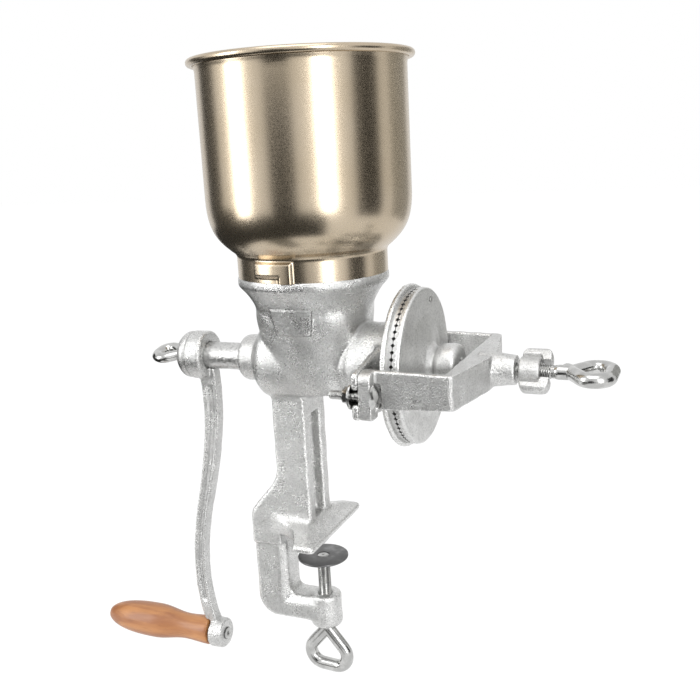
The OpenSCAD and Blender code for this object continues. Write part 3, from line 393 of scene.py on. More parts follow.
def funnel_front(verts, normals):
    """The blended funnel with its bare panel. Round the panel the squared radius is fitted as
    a + bz + cz^2 + dz^3 + (e + fz) x^2; inside it the surface follows that, raised by the panel."""
    verts = funnel_blend(verts, normals)
    x, y, z = (verts - SHAFT).T
    z = z - PANEL_Z
    outside = np.maximum(np.abs(x) - PANEL_HALF_WIDTH - z / PANEL_SLOPE, np.abs(z) - PANEL_HALF_HEIGHT)
    front_y, facing, nowhere = -15, -0.1, 99.0
    outside = np.where((y < front_y) & (normals[:, 1] < facing), outside, nowhere)
    terms = np.stack([np.ones_like(z), z, z ** 2, z ** 3, x ** 2, z * x ** 2], -1)
    edge, near, fade_end, far = 0.6, 2.5, 4, 6
    ring = (outside > near) & (outside < far)
    fit = terms @ np.linalg.lstsq(terms[ring], (x * x + y * y)[ring], rcond=None)[0]
    plain = -np.sqrt(np.maximum(fit - x * x, 1))
    inside = smoothstep(fade_end, near, outside)
    shift = (plain - PANEL_RISE * smoothstep(edge, -edge, outside) - y) * inside
    return verts + shift[:, None] * np.array([0, 1, 0])


def wing_ears(verts, normals):
    """Round, pillow-like ears: beyond the hub each ear's length along the screw shrinks as
    sqrt(1 - taper s²), its thickness doubles, and its hook comes closer to the screw."""
    hub_r, taper, thicker, closer = 8, 0.35, 1.1, 2.0
    p = verts - SHAFT
    middle = (p[:, 0].min() + p[:, 0].max()) / 2
    flat = p[:, 1:]
    r = np.linalg.norm(flat, axis=1)
    axes = np.linalg.eigh(np.cov(flat[r > 0.7 * r.max()].T))[1]
    out, across = flat @ axes[:, 1], flat @ axes[:, 0]
    reach = np.abs(out)
    hook = smoothstep(2.5, 4.5, p[:, 0] - middle)
    ear = smoothstep(hub_r + 0.5, hub_r + 3, reach + closer * hook)
    s = np.clip((reach - hub_r) / (reach.max() - hub_r), 0, 1)
    shrink = 1 - ear * (1 - np.sqrt(np.maximum(1 - taper * s * s, 0)))
    x = middle + (p[:, 0] - middle) * shrink
    flat = flat + (thicker * ear * (1 - 0.5 * s ** 4) * across)[:, None] * axes[:, 0]
    flat = flat - (closer * hook * smoothstep(13, 9, reach) * np.sign(out))[:, None] * axes[:, 1]
    return np.stack([x + SHAFT[0], flat[:, 0] + SHAFT[1], flat[:, 1] + SHAFT[2]], -1)


def round_shaft(verts, scale):
    """The points with their distance from the shaft's line times the scale."""
    p = verts - SHAFT
    return np.stack([verts[:, 0], p[:, 1] * scale + SHAFT[1], p[:, 2] * scale + SHAFT[2]], -1)


def crank_seam(verts, normals):
    """Parting seam round the crank's hub, and the slightly smaller outer half beyond it."""
    seam_x, seam_width, seam_depth, step_depth = -102.9, 0.7, 0.55, 0.5
    x, y, z = (verts - SHAFT).T
    r = np.hypot(y, z)
    hub = smoothstep(13, 15, r) * smoothstep(21, 19.5, r) * smoothstep(-86, -90, x)
    step = step_depth * smoothstep(seam_x + seam_width, seam_x - seam_width, x)
    seam = seam_depth * np.exp(-((x - seam_x) / seam_width) ** 2)
    return round_shaft(verts, 1 - hub * (step + seam) / np.maximum(r, 1))


def carrier_hub(verts, normals):
    """Flare and waist between the carrier's disc and the knob at the end of its hub."""
    waist_x, waist_width, waist_depth, disc_x, flare = 89.5, 2.6, 2.3, 82.5, 0.35
    x, y, z = (verts - SHAFT).T
    r = np.hypot(y, z)
    waist = np.exp(-((x - waist_x) / waist_width) ** 2) + flare * smoothstep(91, 88, x)
    hub = smoothstep(9, 12, r) * smoothstep(24, 17, r) * smoothstep(disc_x, disc_x + 2.5, x)
    return round_shaft(verts, 1 - waist_depth * waist * hub / np.maximum(r, 1))


# Material helpers

METAL = {"Metallic": 1.0}
VARNISH = {"Coat Weight": 0.35, "Coat Roughness": 0.25}


def node(tree, kind, inputs=(), **settings):
    """Adds a shader node, sets its properties, links or sets its inputs by name or number, and
    returns its outputs."""
    made = tree.nodes.new("ShaderNode" + kind)
    for key, value in settings.items():
        setattr(made, key, value)
    for key, value in dict(inputs).items():
        socket = made.inputs[key]
        if isinstance(value, bpy.types.NodeSocket):
            tree.links.new(value, socket)
        else:
            socket.default_value = value
    return made.outputs


def opaque(colour, share=1.0, most=1.0):
    """A colour times a share, no channel above the most, with full alpha."""
    return [min(c * share, most) for c in colour[:3]] + [1]


def mix(tree, factor, a, b):
    """Colour mix of a and b by the factor."""
    return node(tree, "Mix", {0: factor, 6: a, 7: b}, data_type="RGBA")[2]


def math_node(tree, operation, *values):
    """Result of a math node over sockets and numbers."""
    return node(tree, "Math", dict(enumerate(values)), operation=operation)[0]


def spread(tree, value, low, high, to_low, to_high):
    """Maps low..high of a value smoothly to to_low..to_high."""
    return node(tree, "MapRange", {0: value, 1: low, 2: high, 3: to_low, 4: to_high},
                interpolation_type="SMOOTHSTEP")[0]


def own_point(tree):
    """The shaded point in its object's own coordinates."""
    return node(tree, "TexCoord")["Object"]


def stretched(tree, at, scale, rotation=(0.0, 0.0, 0.0)):
    """The point, stretched along each axis and then turned."""
    return node(tree, "Mapping", {"Vector": at, "Rotation": rotation, "Scale": scale})[0]


def noise(tree, at, scale, detail=2.0, **more):
    """Noise at a point, with more of the texture's inputs by name."""
    inputs = {"Vector": at, "Scale": scale, "Detail": detail, **more}
    return node(tree, "TexNoise", inputs)["Fac"]


def bump(tree, height, strength, depth):
    """Normal bent by a height over a depth in millimetres."""
    inputs = {"Height": height, "Strength": strength, "Distance": depth * MM}
    return node(tree, "Bump", inputs)[0]


def surface(tree, shader):
    """Makes the shader the material's surface."""
    node(tree, "OutputMaterial", {"Surface": shader})


def principled(tree, base, roughness, normal, more):
    """Ends a material in the general shader, with more of its inputs by name."""
    inputs = {"Base Color": base, "Roughness": roughness, "Normal": normal, **more}
    surface(tree, node(tree, "BsdfPrincipled", inputs)[0])


def once(name, build, *values, **more):
    """The material of this name. Where it is missing, build makes its nodes from the values."""
    material = bpy.data.materials.get(name)
    if not material:
        material = bpy.data.materials.new(name)
        material.use_nodes = True
        material.node_tree.nodes.clear()
        build(material.node_tree, *values, **more)
    return material


# Shared effects

def sand_grain(tree, inputs):
    """Sand-cast skin from three sizes of noise: a height with scattered pits, a shade, and the
    finest noise as specks."""
    at = own_point(tree)
    scales = [math_node(tree, "DIVIDE", scale, inputs["Size"]) for scale in (1100.0, 520.0, 70.0)]
    fine = noise(tree, at, scales[0], 2.0, Roughness=0.6)
    middle, wide = [noise(tree, at, scale, 3.0, Roughness=0.6) for scale in scales[1:]]
    cell = node(tree, "TexVoronoi", {"Vector": at, "Scale": scales[1]})["Distance"]
    pit = math_node(tree, "MULTIPLY", spread(tree, cell, 0.02, 0.16, 1.0, 0.0),
                    spread(tree, wide, 0.45, 0.7, 0.0, 0.2))
    height = math_node(tree, "SUBTRACT", math_node(tree, "MULTIPLY_ADD", middle, 0.35, fine), pit)
    shade = math_node(tree, "MULTIPLY_ADD", wide, 0.6, math_node(tree, "MULTIPLY", middle, 0.4))
    shade = math_node(tree, "SUBTRACT", shade, math_node(tree, "MULTIPLY", pit, 0.5))
    return height, shade, fine


def ridge_wear(tree, inputs):
    """Wear and painted highlight on ridges, painted shade in hollows, from the ridge tone broken up by noise.
    """
    tone = node(tree, "Attribute", attribute_name="ridge_tone")["Fac"]
    broken = math_node(tree, "MULTIPLY_ADD", noise(tree, own_point(tree), 260.0, 3.0), 0.3, tone)
    # Ridges made lighter: partly wear, partly painted highlight
    wear_and_painted_light = spread(tree, broken, 0.45, 1.5, 0.0, 0.7)
    # Hollows made darker: painted shade
    darker_tone = spread(tree, broken, 0.0, -0.85, 0.0, 1.0)
    return [math_node(tree, "MULTIPLY", value, inputs["Amount"]) for value in (wear_and_painted_light, darker_tone)]


def raised_panel(tree, inputs):
    """Crisp edge of the bare raised panel on the funnel's front: the distance d outside a
    tapered board in X and Z is max(|x - x0| - w(z), |z - z0| - h); the height falls across d = 0."""
    place = node(tree, "SeparateXYZ", {"Vector": own_point(tree)})
    across = math_node(tree, "ABSOLUTE", math_node(tree, "SUBTRACT", place["X"], SHAFT[0] * MM))
    up = math_node(tree, "SUBTRACT", place["Z"], (SHAFT[2] + PANEL_Z) * MM)
    width = math_node(tree, "MULTIPLY_ADD", up, 1 / PANEL_SLOPE, PANEL_HALF_WIDTH * MM)
    beside = math_node(tree, "SUBTRACT", across, width)
    above = math_node(tree, "SUBTRACT", math_node(tree, "ABSOLUTE", up), PANEL_HALF_HEIGHT * MM)
    outside = math_node(tree, "MAXIMUM", beside, above)
    front = math_node(tree, "LESS_THAN", place["Y"], -20 * MM)
    height = spread(tree, outside, -0.4 * MM, 0.4 * MM, 1.0, 0.0)
    # Painted shade: a dark line along the panel's edge
    edge = spread(tree, math_node(tree, "ABSOLUTE", outside), 0.1 * MM, 0.8 * MM, 0.45, 0.0)
    return [math_node(tree, "MULTIPLY", value, front) for value in (height, edge)]


# Each shared group's function, its inputs with their defaults, and its outputs in the function's order
GROUPS = {
    "Sand grain": (sand_grain, {"Size": 1.0}, ("Height", "Shade", "Speck")),
    "Ridge wear": (ridge_wear, {"Amount": 1.0}, ("Wear and painted highlight", "Hollow shade")),
    "Raised panel": (raised_panel, {}, ("Height", "Edge shade")),
}


def group_once(name):
    """The shared group of this name, with float inputs and outputs, built where it is missing."""
    tree = bpy.data.node_groups.get(name)
    if tree:
        return tree
    build, inputs, outputs = GROUPS[name]
    tree = bpy.data.node_groups.new(name, "ShaderNodeTree")
    for label, default in inputs.items():
        socket = tree.interface.new_socket(label, in_out="INPUT", socket_type="NodeSocketFloat")
        socket.default_value = default
    for label in outputs:
        tree.interface.new_socket(label, in_out="OUTPUT", socket_type="NodeSocketFloat")
    start, end = tree.nodes.new("NodeGroupInput"), tree.nodes.new("NodeGroupOutput")
    for label, value in zip(outputs, build(tree, start.outputs)):
        tree.links.new(value, end.inputs[label])
    return tree


def shared(tree, name, **values):
    """Outputs of a shared group, with its inputs by name."""
    return node(tree, "Group", values, node_tree=group_once(name))


# Materials

def tinned(tree, colour, rough, size=1.0, wear=1.0, depth=0.6, panel=False):
    """Tinned cast iron: silvery metal with sand grain, painted shade in the hollows, and ridges lighter from
    wear and painted highlight.
    """
    grain = shared(tree, "Sand grain", Size=size)
    wear_and_painted_light = shared(tree, "Ridge wear", Amount=wear)
    shade = spread(tree, grain["Shade"], 0.3, 0.7, 0.0, 1.0)
    base = mix(tree, shade, opaque(colour, 0.8), opaque(colour))
    # Lighter ridges: partly wear, partly painted highlight
    base = mix(tree, wear_and_painted_light["Wear and painted highlight"], base, opaque(colour, 1.15, 0.9))
    # Painted shade in the hollows
    base = mix(tree, math_node(tree, "MULTIPLY", wear_and_painted_light["Hollow shade"], 0.65), base, opaque(colour, 0.42))
    speck = spread(tree, grain["Speck"], 0.34, 0.52, 0.0, 1.0)
    base = mix(tree, speck, opaque(colour, 0.62), base)
    roughness = spread(tree, grain["Shade"], 0.3, 0.7, rough + 0.1, rough - 0.05)
    roughness = math_node(tree, "MULTIPLY_ADD", wear_and_painted_light["Wear and painted highlight"], -0.1, roughness)
    height = grain["Height"]
    if panel:
        raised = shared(tree, "Raised panel")
        height = math_node(tree, "MULTIPLY_ADD", raised["Height"], 1.7, height)
        # Painted shade along the panel's edge
        base = mix(tree, raised["Edge shade"], base, opaque(colour, 0.5))
    principled(tree, base, roughness, bump(tree, height, 0.8, depth), METAL)


def bright_zinc(tree, colour, rough):
    """Zinc-plated steel: smooth bright metal with a fine grain, small stains and painted shade in the
    hollows.
    """
    at = own_point(tree)
    wide = noise(tree, at, 140.0, 4.0)
    base = mix(tree, spread(tree, wide, 0.42, 0.66, 0.0, 1.0), opaque(colour, 0.8), opaque(colour))
    # Painted shade in the hollows
    base = mix(tree, shared(tree, "Ridge wear")["Hollow shade"], base, opaque(colour, 0.3))
    roughness = spread(tree, wide, 0.3, 0.7, rough + 0.08, rough - 0.03)
    principled(tree, base, roughness, bump(tree, noise(tree, at, 900.0), 0.25, 0.05), METAL)


def spun_sheet(tree, colour, rough):
    """Spun nickel-coloured sheet: satin metal with fine level lines left by the spinning."""
    at = own_point(tree)
    lines = noise(tree, stretched(tree, at, (6.0, 6.0, 900.0)), 3.0, 5.0, Roughness=0.7)
    speck = noise(tree, at, 1400.0)
    warm = [c * share for c, share in zip(colour, (0.94, 0.93, 0.9))]
    tint = spread(tree, noise(tree, at, 28.0, 3.0), 0.35, 0.65, 0.0, 1.0)
    base = mix(tree, tint, opaque(warm), opaque(colour))
    roughness = spread(tree, speck, 0.3, 0.7, rough - 0.03, rough + 0.04)
    height = math_node(tree, "MULTIPLY_ADD", lines, 0.6, speck)
    principled(tree, base, roughness, bump(tree, height, 0.1, 0.03), METAL)


def dark_steel(tree, colour, rough):
    """Dull steel of the clamp pad, with turning rings and rubbed spots."""
    at = own_point(tree)
    rings = {"Vector": at, "Scale": 260.0, "Distortion": 1.5, "Detail": 2.0}
    wave = node(tree, "TexWave", rings, wave_type="RINGS", rings_direction="Z")["Fac"]
    cloud = noise(tree, at, 120.0, 4.0)
    base = mix(tree, spread(tree, cloud, 0.5, 0.72, 0.0, 0.5), opaque(colour), opaque(colour, 2.2, 0.8))
    roughness = spread(tree, cloud, 0.3, 0.7, rough + 0.08, rough - 0.06)
    principled(tree, base, roughness, bump(tree, wave, 0.15, 0.04), METAL)


def varnished_wood(tree, light, dark):
    """Turned hardwood: streaks along the grip, darker clouds, fine pores, and a thin varnish."""
    at = own_point(tree)
    along = stretched(tree, at, (9.0, 95.0, 95.0), (0.0, 0.0, 0.06))
    streak = spread(tree, noise(tree, along, 1.0, 3.0, Distortion=0.9), 0.38, 0.64, 0.0, 1.0)
    pores = noise(tree, stretched(tree, at, (60.0, 900.0, 900.0)), 1.0, 3.0, Roughness=0.7)
    cloud = spread(tree, noise(tree, at, 34.0), 0.5, 0.75, 0.0, 0.35)
    base = mix(tree, streak, opaque(dark), opaque(light))
    base = mix(tree, cloud, base, opaque(dark, 0.8))
    base = mix(tree, spread(tree, pores, 0.56, 0.72, 0.0, 0.4), base, opaque(dark, 0.6))
    roughness = spread(tree, pores, 0.3, 0.7, 0.42, 0.52)
    principled(tree, base, roughness, bump(tree, pores, 0.25, 0.05), VARNISH)


def materials():
    """The finishes of the mill, by name."""
    s = bpy.context.scene.mill_finish
    tin = s.casting_colour
    darker_tone, grey = [[c * share for c in tin] for share in (0.93, 0.85)]
    return {
        "casting": once("tinned casting", tinned, darker_tone, 0.3),
        "crank": once("tinned crank", tinned, darker_tone, 0.27, wear=0.7),
        "main": once("tinned main casting", tinned, tin, 0.27, panel=True),
        "carrier": once("tinned disc", tinned, tin, 0.4, depth=0.12),
        "small_casting": once("tinned small casting", tinned, darker_tone, 0.34, size=0.85),
        "plate": once("ground plate iron", tinned, darker_tone, 0.34, size=0.7, wear=0.0, depth=0.15),
        "shaft": once("tinned shaft", tinned, grey, 0.3, size=2.2, wear=0.0, depth=0.5),
        "sheet": once("spun nickel sheet", spun_sheet, s.sheet_colour, 0.25),
        "zinc": once("bright zinc", bright_zinc, s.zinc_colour, 0.16),
        "pad": once("dull pad steel", dark_steel, s.pad_colour, 0.36),
        "wood": once("varnished grip wood", varnished_wood, s.wood_light, s.wood_dark),
    }


# Settings

def size_setting(name, about, default, low, high):
    """A length that the panel offers, given here in millimetres."""
    return FloatProperty(name=name, description=about, default=default * MM, min=low * MM, max=high * MM,
                         precision=5, unit="LENGTH")


def colour_setting(name, about, default):
    """A colour that the panel offers."""
    return FloatVectorProperty(name=name, description=about, subtype="COLOR", default=default, min=0, max=1)


class MillShapeSettings(bpy.types.PropertyGroup):
    """Sizes of the dressed pieces."""
    casting_voxel: size_setting("Casting detail", "Size of the faces on the main casting", 1.22, 0.8, 3)
    inner_fillet: size_setting("Inner fillets", "Radius of the hollow corners of the castings", 4, 1, 12)
    outer_fillet: size_setting("Outer edges", "Radius of the outer edges of the castings", 0.9, 0.3, 4)
    channel_rise: size_setting("Channel rise", "How far the channels stand out of the collar", 2.3, 0.5, 3)
    screw_pitch: size_setting("Screw pitch", "Pitch of the adjusting and clamp screws", 1.5, 1, 2)
    loop_bend: size_setting("Loop bend", "Bend radius of the rod in the large loops", 7.5, 5, 12)


class MillFinishSettings(bpy.types.PropertyGroup):
    """Colours of the finishes."""
    casting_colour: colour_setting("Casting", "Colour of the tinned castings", (0.76, 0.76, 0.75))
    sheet_colour: colour_setting("Hopper", "Colour of the spun sheet", (0.53, 0.446, 0.338))
    zinc_colour: colour_setting("Zinc", "Colour of the plated screws", (0.58, 0.58, 0.57))
    pad_colour: colour_setting("Pad", "Colour of the clamp pad", (0.16, 0.16, 0.16))
    wood_light: colour_setting("Wood, light", "Light colour of the grip", (0.43, 0.19, 0.064))
    wood_dark: colour_setting("Wood, dark", "Dark colour of the grip", (0.27, 0.1, 0.032))


# Castings as pieces

class MILL_OT_castings(bpy.types.Operator):
    """Builds the main casting, the yoke, the crank, the plate carrier and the lock nut"""
    bl_idname = "mill.castings"
    bl_label = "Castings"

    def execute(self, context):
        s = context.scene.mill_shape
        m = materials()
        voxel, inner, outer = s.casting_voxel / MM, s.inner_fillet / MM, s.outer_fillet / MM
        casting("mill_casting", "mill_body", m["main"], "mill_frame", voxel, inner, outer, funnel_front)
        casting("yoke_casting", "yoke", m["casting"], "mill_frame", voxel=0.66, inner=inner + 2.5, outer=0.9)
        casting("crank_casting", "crank_arm", m["crank"], "rotor", voxel=0.62, inner=3.0, outer=1.6,
                detail=crank_seam)
        casting("carrier_casting", "plate_carrier", m["carrier"], "rotor", voxel=0.8, inner=inner, outer=0.9,
                detail=carrier_hub)
        casting("wing_nut", "lock_nut", m["small_casting"], "lock_nut", voxel=0.4, inner=1.6, outer=2.0,
                detail=wing_ears, uneven=0.08)
        return {"FINISHED"}


# Hopper

COLLAR_R = 52.2
SHEET = 1.0
# Where the two bayonet channels stand, in degrees round the hopper's axis
CHANNEL_TURNS = (-85.0, 95.0)


def hopper_profile():
    """Outer line of the hopper as height and radius: collar, pulled neck, rounded shoulder,
    straight body, and the sheet rolled outwards into the rim."""
    low, high = box_mm("hopper")
    bead, body, neck, rise, lip = 2.6, 70.6, 3.2, 25.0, 7
    bottom, top = low[2], high[2] - bead
    rim_r = (high[0] - low[0]) / 2 - bead
    shoulder = bottom + 17
    waist = [shoulder + neck, COLLAR_R + 1.6 * neck]
    lower = cubic([[shoulder - neck, COLLAR_R], [shoulder, COLLAR_R], [shoulder + neck / 3, COLLAR_R + neck],
                   waist], 14)
    upper = cubic([waist, [shoulder + 0.42 * rise, body - 5], [shoulder + 0.72 * rise, body],
                   [shoulder + 1.5 * rise, body]], 40)
    turn = np.linspace(np.pi, -0.75 * np.pi, 26)
    bead_line = np.stack([top, rim_r]) + (bead - SHEET) * np.stack([np.sin(turn), np.cos(turn)], -1)
    flare = cubic([[top - lip, body], [top - 4, body], [top - 3, bead_line[0, 1]], bead_line[0]], 8)
    wall = np.stack([np.linspace(shoulder + 1.5 * rise, top - lip, 26), np.full(26, body)], -1)
    band = np.stack([np.linspace(bottom, shoulder - neck, 20), np.full(20, COLLAR_R)], -1)
    return np.concatenate([band, lower[1:], upper[1:], wall[1:], flare[1:], bead_line[1:]])


def channel_mask(along, up):
    """1 inside a bayonet channel, 0 outside: an upright leg and a level bar with the same half
    width; along is the place round the collar and up the height above its lower edge."""
    half, leg_top, bar_middle, bar_half, bar_up, edge = 4.6, 13.4, -9.4, 14.0, 8.8, 1.2
    leg = np.maximum(np.abs(along) - half, up - leg_top)
    bar = np.maximum(np.abs(along - bar_middle) - bar_half, np.abs(up - bar_up) - half)
    return smoothstep(edge, -edge, np.minimum(leg, bar))


class MILL_OT_hopper(bpy.types.Operator):
    """Builds the spun hopper with its rolled rim and pressed bayonet channels"""
    bl_idname = "mill.hopper"
    bl_label = "Hopper"

    def execute(self, context):
        rise = context.scene.mill_shape.channel_rise / MM
        outer = hopper_profile()
        direction = unit(np.gradient(outer, axis=0))
        inner = outer + SHEET * np.stack([direction[:, 1], -direction[:, 0]], -1)
        line = np.concatenate([outer, inner[::-1]])
        grid = turned(line, 384)
        angle = np.arctan2(grid[..., 1], grid[..., 0])
        radius = np.hypot(grid[..., 0], grid[..., 1])
        mask = np.zeros_like(radius)
        for turn in CHANNEL_TURNS:
            off = np.angle(np.exp(1j * (angle - np.radians(turn))))
            mask = np.maximum(mask, channel_mask(COLLAR_R * off, grid[..., 2] - line[0, 0]))
        scale = 1 + rise * mask / radius
        grid = np.stack([grid[..., 0] * scale + SHAFT[0], grid[..., 1] * scale, grid[..., 2]], -1)
        piece("spun_hopper", [grid], materials()["sheet"], "hopper", "hopper_sheet", closed=True, sharp=60)
        return {"FINISHED"}


# Screws

M10_CREST = 4.9
M10_DEPTH = 0.85
SHANK_R = 4.25


def loop_path(length, width, rod, bend, tail, lead):
    """Centre line of a bent-rod loop in its own plane, apex at the origin: along the shank, out
    along one strand, round both bends, and back along the other strand past the apex. The
    strands touch both bends, whose centres lie half a width less a rod and a bend off the axis."""
    far = length - rod / 2
    side = width / 2 - rod / 2
    cx, cy = far - bend, side - bend
    lean = math.atan2(cy, cx) + math.asin(bend / math.hypot(cx, cy))
    corner = far * math.tan(lean)
    back = np.array([math.cos(lean), -math.sin(lean), 0])
    points = [[-lead, 0, 0], [0, 0, 0], [far, corner, 0], [far, -corner, 0], -back * tail]
    return rounded(np.array(points), [0, 5.0, bend, bend, 0], 14)


def rod_loop(length, width, rod, thick, bend, tail, lead):
    """The loop as a tube, rod wide in its plane and thick across it."""
    path = spaced(loop_path(length, width, rod, bend, tail, lead), 0.7)
    return tube(path, rod / 2, np.array([0.0, 0.0, 1.0]), 32, thick / rod)


def turned_about_x(grid, degrees):
    """Turns a surface round +X."""
    c, s = math.cos(math.radians(degrees)), math.sin(math.radians(degrees))
    x, y, z = grid[..., 0], grid[..., 1], grid[..., 2]
    return np.stack([x, c * y - s * z, s * y + c * z], -1)


def adjusting_rod(pitch, bend):
    """Adjusting screw: loop, thread, and the plain shank between them."""
    apex, start = 178.0, box_mm("adjusting_screw")[0][0] - SHAFT[0]
    end = 166
    loop = rod_loop(length=29.5, width=41, rod=10.2, thick=9.8, bend=bend + 1.5, tail=5.5, lead=8)
    thread = threaded(start, end, M10_CREST, pitch, M10_DEPTH)
    shank = turned([[end - 1, 0], [end - 1, 3.9], [end, SHANK_R], [end + 5, SHANK_R], [apex + 1, 4.0],
                    [apex + 2, 0]], 32)
    return [turned_about_x(loop + [apex, 0, 0], 1.5) + SHAFT, about_x(thread) + SHAFT, about_x(shank) + SHAFT]


def clamp_rod(pitch, bend):
    """Clamp screw: upright loop below, thread, and the tip that is riveted into the pad."""
    length, end = 36.5, -23.3
    apex = box_mm("clamp_screw")[0][2] + length
    loop = rod_loop(length=length, width=41, rod=9.8, thick=9.4, bend=bend + 2.5, tail=1.5, lead=8)
    c, s = math.cos(math.radians(86)), math.sin(math.radians(86))
    x, y, z = loop[..., 2], loop[..., 1], -loop[..., 0]
    loop = np.stack([x * c - y * s, x * s + y * c, z + apex], -1)
    tip = turned([[-24, 0], [-24, 3.0], [-22.2, 3.0], [-22.1, 4.2], [-21.9, 4.2], [-21.6, 3.6], [-21.5, 2.2],
                  [-21.75, 1.2], [-21.9, 0]], 48)
    return [loop, threaded(apex, end, M10_CREST, pitch, M10_DEPTH), tip]


def crank_rod():
    """Small screw that holds the crank on the shaft: loop and plain shank."""
    start, end, shank_r = -114.5, -94.2, 3.9
    loop = rod_loop(length=25, width=26, rod=9.2, thick=7.6, bend=7.0, tail=0.8, lead=6)
    loop = turned_about_x(loop * [-1, -1, 1] + [start, 0, 0], 14)
    line = [[start, 0], [start, shank_r - 1], [start + 1, shank_r], [end, shank_r], [end + 0.2, 0]]
    return [loop + SHAFT, about_x(turned(line, 32)) + SHAFT]


class MILL_OT_screws(bpy.types.Operator):
    """Builds the adjusting screw, the clamp screw and the crank's screw"""
    bl_idname = "mill.screws"
    bl_label = "Screws with loops"

    def execute(self, context):
        s = context.scene.mill_shape
        pitch, bend = s.screw_pitch / MM, s.loop_bend / MM
        rods = {"adjusting_screw": adjusting_rod(pitch, bend), "clamp_screw": clamp_rod(pitch, bend),
                "crank_screw": crank_rod()}
        for body, grids in rods.items():
            piece(f"{body}_rod", grids, materials()["zinc"], body, "zinc_steel")
        return {"FINISHED"}


# Grip and pad

def eased(start, end, s):
    """Half a cosine wave from start to end as s goes from 0 to 1."""
    return start + (end - start) * (1 - np.cos(np.pi * s)) / 2


def grip_profile(length, reach, belly_r):
    """Closed line of the grip as distance from the crank and radius: a flared end, a neck, a
    belly that closes like an ellipse of power 2.6, and the stepped bore for the spindle."""
    end_r, neck_r, neck, belly, bulge = 11.4, 10.2, 0.22, 0.52, 2.6
    mouth_r, pocket_r, hole_r, pocket = 5.0, 4.68, 3.58, 5.0
    rest = 1 - belly
    t = np.concatenate([np.linspace(0, belly, 40), belly + rest * np.sin(np.linspace(0, np.pi / 2, 60))[1:]])
    dome = belly_r * np.sqrt(np.maximum(0, 1 - np.maximum((t - belly) / rest, 0) ** bulge))
    r = np.where(t < neck, eased(end_r, neck_r, t / neck),
                 np.where(t < belly, eased(neck_r, belly_r, (t - neck) / (belly - neck)), dome))
    outside = np.stack([t * length, r], -1)
    outside = outside[(outside[:, 0] > 1.2) & (outside[:, 1] > mouth_r)]
    edge = [[0.0, end_r - 1.0], [0.25, end_r - 0.45], [0.7, end_r - 0.12]]
    mouth = [[reach - 0.05, mouth_r - 0.05], [reach - 0.02, mouth_r - 0.25], [reach - 0.6, pocket_r + 0.01]]
    bore = [[length - pocket, pocket_r], [length - pocket, hole_r], [0.0, hole_r]]
    return np.concatenate([edge, outside, mouth, bore])


class MILL_OT_grip(bpy.types.Operator):
    """Builds the turned grip and its riveted spindle"""
    bl_idname = "mill.grip"
    bl_label = "Grip"

    def execute(self, context):
        m = materials()
        axis = SHAFT - [0, 0, CRANK_LENGTH]
        low, high = box_mm("grip")
        line = grip_profile(101.5, high[0] - low[0], (high[1] - low[1]) / 2)
        profile = np.stack([high[0] - SHAFT[0] - line[:, 0], line[:, 1]], -1)
        piece("turned_grip", [about_x(turned(profile)) + axis], m["wood"], "grip", "grip_wood",
              closed=True, sharp=50)

        low, high = box_mm("grip_spindle")
        x0, x1 = low[0] - SHAFT[0], high[0] - SHAFT[0]
        outer_head = [[x0, 0], [x0, 3.9], [x0 + 0.4, 4.5], [x0 + 1.9, 4.6], [x0 + 1.95, 3.5]]
        rivet = [[x1 - 1.3, 3.5], [x1 - 1.2, 5.0], [x1 - 0.9, 4.95], [x1 - 0.35, 4.2], [x1, 2.9],
                 [x1 - 0.05, 2.1], [x1 - 0.7, 1.3], [x1 - 0.8, 0]]
        piece("riveted_spindle", [about_x(turned(outer_head + rivet, 64)) + axis], m["zinc"], "rotor",
              "zinc_steel", "grip_spindle", sharp=35)
        return {"FINISHED"}


class MILL_OT_pad(bpy.types.Operator):
    """Builds the clamp pad"""
    bl_idname = "mill.pad"
    bl_label = "Clamp pad"

    def execute(self, context):
        low, high = box_mm("clamp_pad")
        r, z0, z1, hole_r, dish_r, dish = (high[0] - low[0]) / 2, low[2], high[2], 3.2, 4.9, 0.6
        line = rounded([[z0, hole_r], [z0, r], [z1, r], [z1, dish_r], [z1 - 0.55, dish_r - 0.55],
                        [z1 - dish, hole_r]], [0.1, 0.5, 0.5, 0.5, 0.1, 0.1], 5)
        piece("pad_disc", [turned(line, 128)], materials()["pad"], "clamp_pad", "pad_steel",
              closed=True, sharp=50)
        return {"FINISHED"}


# Fasteners

def hex_nut(across, thick, bore):
    """Six-sided nut with cones on both faces: at angle t the side stands at across / 2 over the
    cosine of the angle from the middle of its flat, but never outside the cones."""
    t = np.linspace(0, 2 * np.pi, 120, endpoint=False)
    flat = (across / 2) / np.cos(np.mod(t, np.pi / 3) - np.pi / 6)
    z = np.array([0, 0, 0.25, 0.9, thick / 2, thick - 0.9, thick - 0.25, thick, thick])
    cone = across / 2 * np.array([0, 0.94, 1, 1.2, 1.2, 1.2, 1, 0.94, 0])
    outside = np.minimum(cone[:, None], flat[None])
    outside[0], outside[-1] = bore, bore
    return round_z(outside, t, z[:, None])


def bolt_grids(tip, at):
    """One yoke bolt: thread from its tip, plain shank, and a head domed as a part of a ball."""
    head, head_r, rise, thread_end, shank_r = 67.0, 8, 3.4, 56, 2.95
    ball_r = (head_r ** 2 + rise ** 2) / (2 * rise)
    turn = np.linspace(np.arcsin(head_r / ball_r), 0, 10)
    dome = np.stack([head + rise - ball_r + ball_r * np.cos(turn), ball_r * np.sin(turn)], -1)
    dome = np.concatenate([[[head, 0], [head, head_r - 0.3]], dome])
    shank = [[thread_end - 1, 0], [thread_end - 1, shank_r], [head + 0.4, shank_r], [head + 0.4, 0]]
    grids = [threaded(tip, thread_end, 3.0, 1.0, 0.5, 24), turned(shank, 32), turned(dome, 48)]
    return [about_x(grid) + at for grid in grids]


